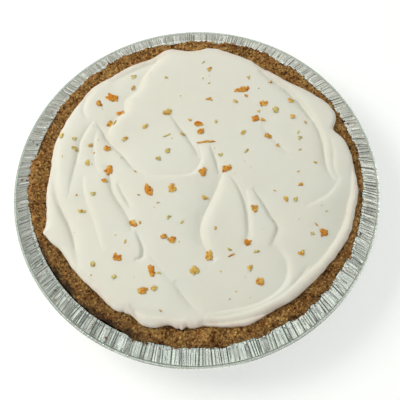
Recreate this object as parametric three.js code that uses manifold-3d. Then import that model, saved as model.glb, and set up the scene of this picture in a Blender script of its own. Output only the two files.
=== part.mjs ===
// A passion fruit pie in the foil pan it was made in, in millimetres, +Z up.
// The pan stands on z = 0 with its centre on the origin. A crumb crust lines it,
// and a solid filling of whipped topping fills the crust, swooshed on top and
// dusted with flecks of zest. X runs to the right and Y away from the eater.

import * as THREE from 'three';
import { mergeVertices } from 'three/addons/utils/BufferGeometryUtils.js';
import Module from 'manifold-3d';

// ---- Driving dimensions ------------------------------------------------------

// Pressed foil pan of the nine inch size
const PAN_RADIUS = 111; // out to the rolled edge
const BASE_RADIUS = 83;
const SHOULDER_RADIUS = 99.8; // where the wall turns out into the rim
const SHOULDER_HEIGHT = 32.2;
const ROLL_HEIGHT = 27.4; // centre of the rolled edge, below the shoulder
const ROLL_RADIUS = 1;
const RIM_CROWN = 0.35; // how far the rim bows up between shoulder and roll
const FOIL = 0.6;
const CRIMPS = 100; // pleats round the wall and the rim
const CRIMP_DEPTH = 0.42; // each way from the smooth shape
const CRIMP_WANDER = 0.2; // share by which that depth varies
const BASE_RING_RADIUS = 64; // centre of the ring pressed up in the base
const BASE_RING_WIDTH = 8;
const BASE_RING_RISE = 0.8;
const BASE_STEPS = 54;

// Crumb crust
const GAP = 0.35; // between pieces that touch
const CRUST_FLOOR = 5.6; // thickness of the floor
const CRUST_FLOOR_RADIUS = 75;
const CRUST_INNER_EDGE = 86; // where the rim drops into the bowl
const CRUST_CREST_RADIUS = 96;
const CRUST_CREST_HEIGHT = 34.9;
const CRUST_CREST_FALL = 0.009; // mm of fall for each square mm from the crest
const CRUST_TOP_RADIUS = 93; // ring of crags on top, between the inner edge and the crest
const CRUST_WALL_TOP = 32.3; // where it leaves the pan's wall and turns out over the shoulder
const CRUST_EDGE_RADIUS = 99.6; // mean of the lumpy outer edge
const CRUST_EDGE_LUMPS = 0.6; // how far the lumps push that edge in and out
const CRUST_EDGE_HEIGHT = 33.7;
const CRUST_EDGE_ROUNDING = 1.6; // width of the rounded outer edge
const CRUST_EDGE_RISE = 0.9; // its rise over that width
const CRUST_STEPS = 144;
const CRAG = 0.45; // height of the crags on the rim
const CRAG_SWAY = 0.8; // how far they push the ring of crags in and out

// Whipped topping
const CREAM_TOP = 40.4; // middle of the top
const CREAM_DOME = 1.2; // how far it has fallen at the rim
const CREAM_RADIUS = 90;
const CREAM_EDGE_WIDTH = 5; // width of the rounded edge
const CREAM_EDGE_DROP = 2.6; // fall of the rounded edge to its widest point
const CREAM_RIPPLE = 0.3; // waves of the outline
const CREAM_RINGS = 24; // ring k of the top holds 6k points
const CREAM_UNDERCUT = 2.2; // how far the lip overhangs the crust's rim
const CREAM_STEPS_BELOW = 54;
const STROKE_DEPTH = 1.5; // times the depths in the table of strokes
const STROKE_NARROWEST = 2.4; // no lip or fade is narrower, so that the facets can follow it
const STROKE_TAPER = 0.7; // power of the sine that tapers a stroke's ends
const STROKE_REACH = 4.5; // fade lengths beyond which a stroke isn't felt
const STROKE_PIECES = 6; // short straight pieces between two points of a stroke
const STROKE_BLEND = 0.02; // square mm, keeps the blend of the pieces finite on the curve itself

// Zest
const ZEST_THICKNESS = 1.3;
const ZEST_PROUD = 0.75; // what stands above the topping
const ZEST_NARROWING = 0.35; // share of its width that a fleck loses at its ends
const ZEST_CURL = 0.2; // how far its ends bend down
const ZEST_FOOTPRINT = 1.5; // half the length over which the slope under a fleck is taken

// Bulges and hollows of the topping's outline: [direction in degrees, width in degrees, mm outwards]
const CREAM_LOBES = [
  [347, 34, 6.4], [27, 9, 5], [17.5, 3, -3.9], [48, 9, -2.4], [79, 7, 2.5], [97, 5, 3], [170, 10, -1.2],
  [197.5, 5.5, 3.8], [220, 10, -1.2], [249, 6, 2.6], [257, 3, -1.2], [285, 8, 2.2], [196.3, 1.2, 1.6],
  [243, 2.5, -1], [259, 1.6, 0.9], [133, 7, 1.6], [57, 5, -1.8], [86, 4, -1], [173, 6, -1],
  [206, 4, -1], [236, 4, 0.9], [270, 3.5, -1.6], [304, 8, 0.8], [320, 4, -0.9],
];

// What is added to the width of the topping's rounded edge, in the same form
const EDGE_WIDTHS = [[195, 50, 4], [135, 25, 2]];

// Bulges of the crust's outer edge, in the same form
const CRUST_LOBES = [
  [175, 9, 1.4], [181, 4, 1], [162, 4, -1.4], [120, 12, 0.7], [62, 6, 0.9], [268, 10, 0.5],
  [215, 25, -0.8], [150, 6, -0.8], [320, 35, 0.6],
];

// Broad swells and hollows of the topping: [x, y, radius, height]
const SWELLS = [
  [15, -80, 24, -2.0], [88, -36, 16, -1.4], [-48, 64, 14, -1.2],
  [5, 15, 60, 0.8], [-58, 10, 16, -0.8], [-75, 0, 10, 0.8],
];

// Strokes of the spatula. The foot of each is a curve through its points and lies "dip" below the topping
// round it. On its left, seen along the curve, the topping rises over a rounded lip to a crest, which fades
// out "high" mm away. On its right it climbs back over "low" mm.
const STROKES = [
  // plateau at the top, with a lit edge down its left
  { crest: 1.9, dip: 1.8, lip: 2.4, high: 20, low: 8, path: [
    [-15, 90], [-20, 84], [-28, 74], [-33, 64], [-40, 58], [-41, 51], [-47, 44], [-51, 37], [-50, 29],
    [-46, 23],
  ] },
  // the tongue that ends it: crease at its lower left, lip at its end, edge on its right
  { crest: 0.9, dip: 1.0, lip: 2.6, high: 6, low: 1.6, path: [
    [-29, 5], [-35, 8], [-39, 13], [-43, 19], [-48, 25], [-52.5, 31], [-55, 37], [-59, 43],
  ] },
  { crest: 1.2, dip: 0.6, lip: 1.4, high: 6, low: 6, path: [
    [3, 22], [4.5, 15], [3.5, 9], [-1, 4], [-8, 2.7], [-18, 3], [-29, 4.5],
  ] },
  { crest: 0.8, dip: 1.1, lip: 1.6, high: 9, low: 3, path: [
    [3, 13], [1, 19], [-2, 25], [-5.5, 31], [-9, 37], [-13, 44],
  ] },
  // small flap beside it
  { crest: 0.6, dip: 0.9, lip: 1.1, high: 6, low: 2, path: [[14, 1], [13.5, 7], [12, 14], [10, 21]] },
  // teardrop in the middle
  { crest: 1.7, dip: 2.4, lip: 2.6, high: 13, low: 7, path: [
    [17, 4], [13.5, -5], [10, -12], [6, -19], [2.5, -26], [1, -32], [1.6, -39], [4.5, -46], [9, -52],
  ] },
  { crest: 0.9, dip: 0.8, lip: 1.4, high: 9, low: 2, path: [
    [25, -45], [28, -37], [28.5, -28], [28, -20], [26.5, -13], [24, -6], [20, 1],
  ] },
  // flap to its right
  { crest: 0.8, dip: 0.5, lip: 1.2, high: 8, low: 2, path: [
    [29, -9], [29.5, -20], [29.5, -30], [30, -40],
  ] },
  { crest: 1.1, dip: 1.1, lip: 1.4, high: 8, low: 4, path: [
    [40, -46], [43.5, -40], [45.5, -34], [42, -27], [39, -20], [36, -14], [33, -9],
  ] },
  // bowl below them
  { crest: 1.0, dip: 1.4, lip: 2.0, high: 7, low: 10, path: [
    [42, -43], [46.5, -50], [49, -57], [47.5, -65], [42.5, -71], [34, -76], [24, -79], [12, -80.5],
    [0, -81.5],
  ] },
  { crest: 0.3, dip: 0.4, lip: 2.6, high: 10, low: 6, path: [
    [-8, -75], [-13, -69], [-18, -62], [-23, -55], [-28, -48], [-32, -40],
  ] },
  { crest: 0.8, dip: 1.1, lip: 5.0, high: 9, low: 6, path: [
    [1, -84], [-5, -79], [-9, -74], [-13, -68], [-16, -62],
  ] },
  // hook
  { crest: 0.9, dip: 1.2, lip: 1.3, high: 5, low: 2, path: [
    [-38, -48], [-34, -47], [-33, -42], [-34.5, -36], [-37, -30],
  ] },
  // strokes down the left
  { crest: 1.0, dip: 0.7, lip: 1.7, high: 9, low: 6, path: [
    [-67, 8], [-66.5, -4], [-64, -14], [-61, -23], [-59, -31], [-56, -42],
  ] },
  { crest: 1.1, dip: 1.6, lip: 3.2, high: 8, low: 3, path: [
    [-39, -32], [-40, -24], [-43, -17], [-47, -10], [-50, -3], [-51, 5], [-54, 14],
  ] },
  { crest: 0.6, dip: 1.0, lip: 1.0, high: 3, low: 2.5, path: [
    [-39, -17], [-41.5, -11], [-44.5, -5], [-46.5, 1],
  ] },
  { crest: 1.0, dip: 2.1, lip: 2.6, high: 6, low: 3.5, path: [
    [-70, -52], [-72, -40], [-73.5, -31], [-76.5, -22], [-80, -14], [-83, -6], [-84.5, 3], [-86, 12],
  ] },
  // trough along the rim at the upper left
  { crest: 0.6, dip: 1.2, lip: 3.0, high: 4, low: 4, path: [
    [-50, 70], [-40, 75.5], [-30, 80], [-20, 84], [-12, 87],
  ] },
  // curls below it
  { crest: 0.5, dip: 1.3, lip: 1.4, high: 6, low: 2, path: [
    [-58, 67], [-63, 62], [-66, 56], [-66, 50], [-63, 45.5],
  ] },
  { crest: 0.5, dip: 0.9, lip: 1.4, high: 6, low: 2, path: [
    [-60, 44], [-64.5, 38], [-68, 31], [-70, 24], [-71, 15],
  ] },
  { crest: 1.4, dip: 0.8, lip: 3.4, high: 4, low: 6, path: [
    [-76, -8], [-74.5, 2], [-72.5, 12], [-70, 22], [-68, 30],
  ] },
  { crest: 0.5, dip: 0.7, lip: 1.4, high: 4, low: 2, path: [[-82, 30], [-83.5, 16], [-82.5, 2]] },
  { crest: 0.5, dip: 0.6, lip: 1.5, high: 5, low: 4, path: [
    [-58, 38], [-60, 28], [-60, 18], [-58, 8],
  ] },
  // long groove inside the right rim, its second line and the ridge that closes it
  { crest: 0.9, dip: 2.2, lip: 2.0, high: 7, low: 2.2, path: [
    [44, 72], [50, 66.5], [56, 61], [62, 54.5], [67, 47.5], [71, 40.5], [74, 34],
  ] },
  { crest: 0.8, dip: 1.4, lip: 1.5, high: 7, low: 2.2, path: [
    [65, 50.5], [70, 43.5], [74, 35], [77, 26], [78.5, 17], [78.5, 8], [79, 1], [82, -7],
  ] },
  { crest: 0.4, dip: 0.6, lip: 1.4, high: 5, low: 3, path: [[83, 22], [84, 12], [83, 3], [84.5, -5]] },
  { crest: 0.8, dip: 0.5, lip: 1.8, high: 6, low: 5, path: [
    [86, -3], [82, -10], [77, -15], [70, -19], [63, -22],
  ] },
  // raised lip along the right and near rim, and the layers of the near rim
  { crest: 1.1, dip: 1.8, lip: 1.8, high: 5, low: 9, path: [
    [94, 4], [92.5, -5], [91, -14], [88, -23], [85, -32], [79, -42], [70, -53], [60, -62], [50, -70],
  ] },
  { crest: 0.5, dip: 0.9, lip: 1.0, high: 3, low: 1.5, path: [
    [62, -57], [56, -64], [48, -71.5], [38, -77], [26, -81], [12, -83.5], [-2, -84],
  ] },
  { crest: 0.7, dip: 1.1, lip: 1.2, high: 3, low: 2, path: [
    [44, -80.5], [34, -84], [22, -86.5], [8, -87.5], [-4, -87],
  ] },
  { crest: 0.7, dip: 1.1, lip: 1.2, high: 5, low: 3, path: [
    [-10, -85], [-20, -83], [-30, -80.5], [-40, -77],
  ] },
  { crest: 0.6, dip: 0.9, lip: 1.0, high: 4, low: 2, path: [[-38, -84], [-39, -79], [-42, -74]] },
  // faint stroke in the upper right
  { crest: 0.4, dip: 0.6, lip: 2.8, high: 6, low: 4, path: [[57, 12], [52, 18], [46, 26], [42, 33]] },
];

// Flecks of zest, the largest first: [x, y, length, width, turn in degrees]
const FLECKS = [
  [32.5, 58, 10, 3.4, 5], [-48, 59.5, 8, 5, -35], [-56.5, 55.5, 4.5, 3.4, 100], [-43, 48, 6, 3.4, -30],
  [-50, 41.5, 4, 3, 20], [-47, 41, 3.5, 2, 10], [4, 35.5, 5, 3.4, 10], [5, 30.5, 4.6, 3, -15],
  [8, 23, 11, 1.8, 0], [5, 3, 7, 3.6, 65], [19, 4.5, 6.5, 3.4, 20], [-52, 23.5, 5.4, 3.4, 0],
  [-51.5, 9, 6.5, 3.6, 65], [-53.5, 3, 3.4, 2.4, 20], [-28, -6, 8, 4, -75], [-14, -5.5, 5.4, 4, 80],
  [-38, -26, 5.4, 3, -60], [-16, -37.5, 5, 3.6, -10], [-20.5, -35.5, 3.6, 2.8, 20],
  [-48, -46, 5.4, 3.6, -15], [-28.5, -55.5, 8, 3.2, -85], [-33.5, -67, 5.5, 4, -20],
  [-27.5, -66, 4, 2, 10], [5, -49, 6.5, 4.2, 85], [27, -42.5, 6, 3.4, -15], [-4, -57, 5, 4, 45],
  [33, -66, 5, 4, -20], [33, -23, 4.6, 3.4, 80], [71.5, -39, 5.6, 4.4, 15], [45, 47, 4.4, 3.4, 20],
  [52, 42.5, 5.4, 3, 80], [39, 37, 5.5, 2.8, 10], [43.5, 36, 3.6, 1.6, -25], [45.5, 24.5, 6, 3.4, 50],
  [-15, 45, 6.5, 3, 0], [-72, 25.5, 5.6, 2.2, -35], [-41, 29, 4.4, 2.7, 10], [-28, 36, 4, 2.7, 20],
  [-64.5, 15, 5, 2.2, 75], [-15.5, 18.5, 4, 2.7, 0], [31, 28, 4.6, 2.2, 60], [57.5, -19, 5, 2, 80],
  [-68, -16, 5, 2, -25], [62, 48.5, 3.6, 2.7, 0], [57.5, -51, 4, 2.3, 20], [-61, -6, 4, 2.3, 10],
  [-62, -49, 4, 2.2, 80], [-21, 14, 4, 2.2, -30], [52, -17.5, 4.6, 1.8, 85], [-15.5, 29, 5, 1.6, 20],
  [62, 37, 3.4, 2.3, 80], [-6.5, 29.5, 3.4, 2.3, 0], [-62.5, 27, 4, 2, 20], [-35, 66, 4, 2, 50],
  [13.5, 74, 3.8, 2, 70], [5, -12.5, 3.8, 2, -10], [27.5, -57.5, 3.8, 2, 80],
];

// ---- Helpers -----------------------------------------------------------------

// Draws that come out the same each time
function drawsFrom(seed) {
  THREE.MathUtils.seededRandom(seed);
  return (low, high) => low + (high - low) * THREE.MathUtils.seededRandom();
}

// Sum of rounded bulges at a direction given in radians
function bulges(lobes, angle) {
  const degrees = THREE.MathUtils.radToDeg(angle);
  return lobes.reduce((sum, [centre, width, size]) => {
    const away = THREE.MathUtils.euclideanModulo(degrees - centre + 180, 360) - 180;
    return sum + size * Math.exp(-((away / width) ** 2));
  }, 0);
}

// Uneven wave round the pie, between about -1 and 1, from sine waves with seeded phases
function unevenWave(seed, slowest, fastest) {
  const count = 5;
  const draw = drawsFrom(seed);
  const waves = Array.from({ length: count }, () => (
    [Math.round(draw(slowest, fastest)), draw(0, 2 * Math.PI)]
  ));
  return (angle) => {
    const sum = waves.reduce((total, [turns, phase]) => total + Math.sin(turns * angle + phase), 0);
    return sum / (count / 2);
  };
}

// One ring of points: steps points at the radius and height that a rule gives for each direction
function ring(steps, rule) {
  return Array.from({ length: steps }, (_, i) => {
    const angle = (2 * Math.PI * i) / steps;
    const [radius, height] = rule(angle, i);
    return new THREE.Vector3(radius * Math.cos(angle), radius * Math.sin(angle), height);
  });
}

const flatRing = (steps, radius, height) => ring(steps, () => [radius, height]);

// Closed body through a row of rings that starts and ends in a single point. Neighbouring rings may hold
// different numbers of points: the strip between them steps along whichever ring is behind.
function loft(rings) {
  const corners = rings.flat();
  const triangles = [];
  let first = 0;
  for (let r = 0; r + 1 < rings.length; r += 1) {
    const [below, above] = [rings[r].length, rings[r + 1].length];
    const next = first + below;
    const low = (i) => first + (i % below);
    const high = (j) => next + (j % above);
    let [i, j] = [0, 0];
    const [lastLow, lastHigh] = [below === 1 ? 0 : below, above === 1 ? 0 : above];
    while (i < lastLow || j < lastHigh) {
      if (j >= lastHigh || (i < lastLow && (i + 1) / below <= (j + 1) / above)) {
        triangles.push(low(i), low(i + 1), high(j));
        i += 1;
      } else {
        triangles.push(low(i), high(j + 1), high(j));
        j += 1;
      }
    }
    first = next;
  }
  const geometry = new THREE.BufferGeometry().setFromPoints(corners);
  geometry.setIndex(triangles);
  return geometry;
}

function namedMesh(name, geometry, material) {
  geometry.computeVertexNormals();
  const mesh = new THREE.Mesh(geometry, new THREE.MeshStandardMaterial(material));
  mesh.name = name;
  return mesh;
}

// ---- Foil pan ----------------------------------------------------------------

// Radius of the smooth middle of the pan's wall at a height
function wallRadius(height) {
  return BASE_RADIUS + ((SHOULDER_RADIUS - BASE_RADIUS) * height) / SHOULDER_HEIGHT;
}

// Thin shell: the outside from the middle of the base out to the rolled edge, then the inside back again
function panGeometry() {
  const depth = unevenWave(11, 7, 31);
  const steps = 2 * CRIMPS;
  // Every other point stands out and the rest stand in, by an uneven depth
  const pleat = (angle, i) => (
    (i % 2 ? -1 : 1) * CRIMP_DEPTH * (1 - CRIMP_WANDER + CRIMP_WANDER * depth(angle))
  );
  // The wall's pleats move it in and out, and the rim's move it up and down
  const wallRing = (radius, height) => ring(steps, (angle, i) => [radius + pleat(angle, i), height]);
  const rimRing = (radius, height) => ring(steps, (angle, i) => [radius, height + pleat(angle, i)]);
  const baseRing = (radius, height) => flatRing(BASE_STEPS, radius, height);

  const rollRadius = PAN_RADIUS - ROLL_RADIUS;
  const middleRadius = (SHOULDER_RADIUS + rollRadius) / 2;
  const middleHeight = (SHOULDER_HEIGHT + ROLL_HEIGHT + ROLL_RADIUS) / 2 + RIM_CROWN;
  // Pressed ring, as steps out from the middle: [radius, rise]
  const pressed = [
    [BASE_RING_RADIUS - BASE_RING_WIDTH / 2, 0],
    [BASE_RING_RADIUS - BASE_RING_WIDTH / 4, BASE_RING_RISE],
    [BASE_RING_RADIUS + BASE_RING_WIDTH / 4, BASE_RING_RISE],
    [BASE_RING_RADIUS + BASE_RING_WIDTH / 2, 0],
  ];
  return loft([
    [new THREE.Vector3(0, 0, 0)],
    ...pressed.map(([radius, rise]) => baseRing(radius, rise)),
    flatRing(steps, BASE_RADIUS, 0),
    wallRing(wallRadius(SHOULDER_HEIGHT) + FOIL / 3, SHOULDER_HEIGHT - 2 * FOIL),
    rimRing(middleRadius, middleHeight - FOIL),
    flatRing(steps, rollRadius - ROLL_RADIUS, ROLL_HEIGHT),
    flatRing(steps, rollRadius, ROLL_HEIGHT - ROLL_RADIUS),
    flatRing(steps, PAN_RADIUS, ROLL_HEIGHT),
    flatRing(steps, rollRadius, ROLL_HEIGHT + ROLL_RADIUS),
    rimRing(middleRadius, middleHeight),
    wallRing(SHOULDER_RADIUS, SHOULDER_HEIGHT),
    wallRing(wallRadius(FOIL * 3) - FOIL, FOIL * 3),
    flatRing(BASE_STEPS, BASE_RADIUS - 2 * FOIL, FOIL),
    ...pressed.toReversed().map(([radius, rise]) => baseRing(radius, rise + FOIL)),
    [new THREE.Vector3(0, 0, FOIL)],
  ]);
}

// ---- Crumb crust -------------------------------------------------------------

const crustUnderside = FOIL + BASE_RING_RISE + GAP;
const crustFloorTop = crustUnderside + CRUST_FLOOR;

// Height of the smooth rim of the crust at a radius
function crustRimHeight(radius) {
  return CRUST_CREST_HEIGHT - CRUST_CREST_FALL * (radius - CRUST_CREST_RADIUS) ** 2;
}

// Cup with a floor, a leaning wall and a craggy rounded rim
function crustGeometry() {
  const lumps = unevenWave(23, 5, 36);
  const [edgeCrags, shoulderCrags, topCrags] = [31, 37, 41].map((seed) => unevenWave(seed, 14, 58));
  const wallClearance = FOIL + CRIMP_DEPTH + GAP;
  const outerWall = (height) => wallRadius(height) - wallClearance;
  const edgeRadius = (angle) => (
    CRUST_EDGE_RADIUS + bulges(CRUST_LOBES, angle) + CRUST_EDGE_LUMPS * lumps(angle)
  );
  return loft([
    [new THREE.Vector3(0, 0, crustUnderside)],
    flatRing(BASE_STEPS, outerWall(crustUnderside), crustUnderside),
    flatRing(CRUST_STEPS, outerWall(CRUST_WALL_TOP), CRUST_WALL_TOP),
    ring(CRUST_STEPS, (angle) => [edgeRadius(angle), CRUST_EDGE_HEIGHT + CRAG * edgeCrags(angle)]),
    ring(CRUST_STEPS, (angle) => (
      [edgeRadius(angle) - CRUST_EDGE_ROUNDING,
        CRUST_EDGE_HEIGHT + CRUST_EDGE_RISE + CRAG * shoulderCrags(angle)]
    )),
    ring(CRUST_STEPS, (angle) => (
      [CRUST_TOP_RADIUS + CRAG_SWAY * topCrags(angle),
        crustRimHeight(CRUST_TOP_RADIUS) + CRAG * topCrags(angle)]
    )),
    flatRing(CRUST_STEPS, CRUST_INNER_EDGE, crustRimHeight(CRUST_INNER_EDGE)),
    flatRing(BASE_STEPS, CRUST_FLOOR_RADIUS, crustFloorTop),
    [new THREE.Vector3(0, 0, crustFloorTop)],
  ]);
}

// ---- Whipped topping ---------------------------------------------------------

const edgeWaves = unevenWave(53, 9, 27);

// Radius of the topping's outline
function creamRadius(angle) {
  return CREAM_RADIUS + bulges(CREAM_LOBES, angle) + CREAM_RIPPLE * edgeWaves(angle);
}

// Each stroke with its foot as a run of short straight pieces, and the box outside which it isn't felt
const SPREAD_STROKES = STROKES.map((stroke) => {
  const points = stroke.path.map(([x, y]) => new THREE.Vector2(x, y));
  const corners = new THREE.SplineCurve(points).getPoints(STROKE_PIECES * (points.length - 1));
  const reach = STROKE_REACH * Math.max(stroke.high, stroke.low);
  const box = new THREE.Box2().setFromPoints(points).expandByScalar(reach);
  return { ...stroke, corners, box };
});

// What one stroke adds to the height at a point. The nearer a piece of its foot is, the more that piece
// counts, so that the two sides blend smoothly inside a bend. Both ends taper off.
function strokeHeight({ crest, dip, lip, high, low, corners }, x, y) {
  const count = corners.length - 1;
  const total = { weight: 0, lean: 0, taper: 0 };
  let nearest = Infinity;
  for (let i = 0; i < count; i += 1) {
    const [a, b] = [corners[i], corners[i + 1]];
    const [ux, uy] = [b.x - a.x, b.y - a.y];
    const long = Math.hypot(ux, uy);
    const share = THREE.MathUtils.clamp(((x - a.x) * ux + (y - a.y) * uy) / long ** 2, 0, 1);
    const distance = Math.hypot(x - a.x - share * ux, y - a.y - share * uy);
    const left = (ux * (y - a.y) - uy * (x - a.x)) / long;
    const weight = long / (distance ** 2 + STROKE_BLEND) ** 3;
    total.weight += weight;
    total.lean += weight * (distance > 0 ? THREE.MathUtils.clamp(left / distance, -1, 1) : 0);
    total.taper += weight * Math.sin((Math.PI * (i + share)) / count);
    nearest = Math.min(nearest, distance);
  }
  const [lipWidth, highWidth, lowWidth] = [lip, high, low].map((width) => Math.max(width, STROKE_NARROWEST));
  const fall = dip * Math.exp(-nearest / lipWidth);
  const crestHeight = crest * (1 - Math.exp(-nearest / lipWidth)) * Math.exp(-nearest / highWidth);
  const lowSide = -dip * Math.exp(-nearest / lowWidth);
  const onHighSide = 0.5 + (0.5 * total.lean) / total.weight;
  const blended = THREE.MathUtils.lerp(lowSide, crestHeight - fall, onHighSide);
  return blended * (total.taper / total.weight) ** STROKE_TAPER;
}

// Height of the topping before its edge is rounded
function creamHeight(x, y) {
  const place = new THREE.Vector2(x, y);
  const dome = CREAM_TOP - CREAM_DOME * (place.length() / CREAM_RADIUS) ** 2;
  const swollen = SWELLS.reduce((sum, [centreX, centreY, radius, height]) => (
    sum + height * Math.exp(-((Math.hypot(x - centreX, y - centreY) / radius) ** 2))
  ), dome);
  return SPREAD_STROKES.filter(({ box }) => box.containsPoint(place))
    .reduce((sum, stroke) => sum + STROKE_DEPTH * strokeHeight(stroke, x, y), swollen);
}

// Plug that fills the crust, with a rounded lip on the crust's rim and a swooshed top
function creamGeometry() {
  const topRing = (k) => ring(6 * k, (angle) => {
    const edge = creamRadius(angle);
    const width = CREAM_EDGE_WIDTH + bulges(EDGE_WIDTHS, angle);
    const radius = (edge * k) / CREAM_RINGS;
    const rounding = THREE.MathUtils.clamp((radius - edge + width) / width, 0, 1);
    const height = creamHeight(radius * Math.cos(angle), radius * Math.sin(angle));
    return [radius, height - CREAM_EDGE_DROP * (1 - Math.sqrt(1 - rounding ** 2))];
  });
  const top = Array.from({ length: CREAM_RINGS - 1 }, (_, i) => topRing(CREAM_RINGS - i));
  const plugEdge = CRUST_INNER_EDGE - 2 * GAP;
  return loft([
    [new THREE.Vector3(0, 0, crustFloorTop + GAP)],
    flatRing(CREAM_STEPS_BELOW, CRUST_FLOOR_RADIUS - 2 * GAP, crustFloorTop + GAP),
    flatRing(CREAM_RINGS * 6, plugEdge, crustRimHeight(CRUST_INNER_EDGE) + GAP),
    ring(CREAM_RINGS * 6, (angle) => {
      const radius = creamRadius(angle) - CREAM_UNDERCUT;
      return [radius, crustRimHeight(radius) + CRAG + GAP];
    }),
    ...top,
    [new THREE.Vector3(0, 0, creamHeight(0, 0))],
  ]);
}

// ---- Zest --------------------------------------------------------------------

// Thin curled shaving, narrower at its ends, pressed into the topping
function fleckGeometry([x, y, length, width, turn]) {
  const fleck = new THREE.BoxGeometry(length, width, ZEST_THICKNESS, 2, 1, 1);
  const corners = fleck.attributes.position;
  for (let i = 0; i < corners.count; i += 1) {
    const fromMiddle = (2 * corners.getX(i)) / length;
    corners.setY(i, corners.getY(i) * (1 - ZEST_NARROWING * fromMiddle ** 2));
    corners.setZ(i, corners.getZ(i) - ZEST_CURL * fromMiddle ** 2);
  }
  const reach = ZEST_FOOTPRINT;
  const slopeX = (creamHeight(x + reach, y) - creamHeight(x - reach, y)) / (2 * reach);
  const slopeY = (creamHeight(x, y + reach) - creamHeight(x, y - reach)) / (2 * reach);
  const up = new THREE.Vector3(-slopeX, -slopeY, 1).normalize();
  fleck.rotateZ(THREE.MathUtils.degToRad(turn));
  fleck.applyQuaternion(new THREE.Quaternion().setFromUnitVectors(new THREE.Vector3(0, 0, 1), up));
  return fleck.translate(x, y, creamHeight(x, y) + ZEST_PROUD - ZEST_THICKNESS / 2);
}

// ---- Joining -----------------------------------------------------------------

const wasm = await Module();
wasm.setup();

function toSolid(geometry) {
  const bare = new THREE.BufferGeometry();
  bare.setAttribute('position', geometry.attributes.position);
  bare.setIndex(geometry.index);
  const merged = mergeVertices(bare);
  return new wasm.Manifold(new wasm.Mesh({
    numProp: 3,
    vertProperties: new Float32Array(merged.attributes.position.array),
    triVerts: new Uint32Array(merged.index.array),
  }));
}

function toGeometry(solid) {
  const { vertProperties, triVerts } = solid.getMesh();
  const geometry = new THREE.BufferGeometry();
  geometry.setAttribute('position', new THREE.BufferAttribute(vertProperties, 3));
  geometry.setIndex(new THREE.BufferAttribute(triVerts, 1));
  return geometry;
}

// Topping with every fleck fused to it
function toppingGeometry() {
  const flecks = FLECKS.map((fleck) => toSolid(fleckGeometry(fleck)));
  return toGeometry(wasm.Manifold.union([toSolid(creamGeometry()), ...flecks]));
}

// ---- The pie -----------------------------------------------------------------

const pie = new THREE.Group();
pie.add(
  namedMesh('foil_pan', panGeometry(), { color: '#b9c0be', roughness: 0.35, metalness: 1 }),
  namedMesh('crumb_crust', crustGeometry(), { color: '#8f6237', roughness: 0.95, metalness: 0 }),
  namedMesh('whipped_topping', toppingGeometry(), { color: '#e4e0d6', roughness: 0.6, metalness: 0 }),
);

export default pie;
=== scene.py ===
"""Looks of a passion fruit pie in its foil pan, laid out as an add-on and run as a script.

Every piece is made in metres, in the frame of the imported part: +Z up, X to the right, Y away from the
eater, and the middle of the pan's base on the origin. Lists of sizes say in their comments when they are
in millimetres.
"""

import math
import bmesh
import bpy
import numpy as np
from bpy.props import FloatProperty, FloatVectorProperty, IntProperty, PointerProperty
from mathutils import Matrix, Vector, noise


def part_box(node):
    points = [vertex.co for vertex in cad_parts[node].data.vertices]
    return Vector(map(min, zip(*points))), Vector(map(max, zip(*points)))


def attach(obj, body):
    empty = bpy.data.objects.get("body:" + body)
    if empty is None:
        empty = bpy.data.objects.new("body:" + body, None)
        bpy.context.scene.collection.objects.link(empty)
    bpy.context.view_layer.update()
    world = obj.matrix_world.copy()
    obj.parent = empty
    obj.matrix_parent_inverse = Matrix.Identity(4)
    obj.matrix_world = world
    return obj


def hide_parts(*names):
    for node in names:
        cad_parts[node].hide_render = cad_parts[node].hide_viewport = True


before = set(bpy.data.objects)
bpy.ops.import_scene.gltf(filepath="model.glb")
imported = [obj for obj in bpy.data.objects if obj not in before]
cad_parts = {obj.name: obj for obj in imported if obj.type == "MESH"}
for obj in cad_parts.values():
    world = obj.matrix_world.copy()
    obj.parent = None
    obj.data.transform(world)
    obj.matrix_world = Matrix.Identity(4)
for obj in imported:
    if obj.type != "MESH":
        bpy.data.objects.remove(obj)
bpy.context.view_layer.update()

bl_info = {
    "name": "Passion fruit pie",
    "version": (1, 0, 0),
    "blender": (4, 5, 0),
    "location": "3D View > Sidebar > Pie",
    "description": "Makes a passion fruit pie with a crumb crust and a swooshed topping in a foil pan",
    "category": "Add Mesh",
}

MM = 0.001
PAN_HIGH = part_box("foil_pan")[1]
CRUST_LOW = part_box("crumb_crust")[0]
CREAM_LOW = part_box("whipped_topping")[0]

# Bulges and hollows of the topping's outline: (direction in degrees, width in degrees, mm outwards)
CREAM_LOBES = (
    (347, 34, 6.4), (27, 9, 5.0), (17.5, 3, -3.9), (48, 9, -2.4), (79, 7, 2.5), (97, 5, 3.0),
    (170, 10, -1.2), (197.5, 5.5, 3.8), (220, 10, -1.2), (249, 6, 2.6), (257, 3, -1.2), (285, 8, 2.2),
    (196.3, 1.2, 1.6), (243, 2.5, -1.0), (259, 1.6, 0.9), (133, 7, 1.6), (57, 5, -1.8), (86, 4, -1.0),
    (173, 6, -1.0), (206, 4, -1.0), (236, 4, 0.9), (270, 3.5, -1.6), (304, 8, 0.8), (320, 4, -0.9),
    (261.6, 0.7, 1.3), (263.4, 0.5, -0.7), (259.8, 0.6, 0.6), (239.6, 0.7, -0.7),
)

# Where the topping's rim took up butter and crumbs, in the same form, as shares from 0 to 1
STAINS = ((275, 45, 1.0), (105, 35, 0.8), (45, 20, 0.7), (345, 25, 0.6))

# What is added to the width of the topping's rounded edge, in the same form
EDGE_WIDTHS = ((195, 50, 4.0), (135, 25, 2.0))

# Bulges of the crust's outer edge, in the same form
CRUST_LOBES = (
    (175, 9, 1.4), (181, 4, 1.0), (162, 4, -1.4), (120, 12, 0.7), (62, 6, 0.9), (268, 10, 0.5),
    (215, 25, -0.8), (150, 6, -0.8), (320, 35, 0.6),
)

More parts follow.
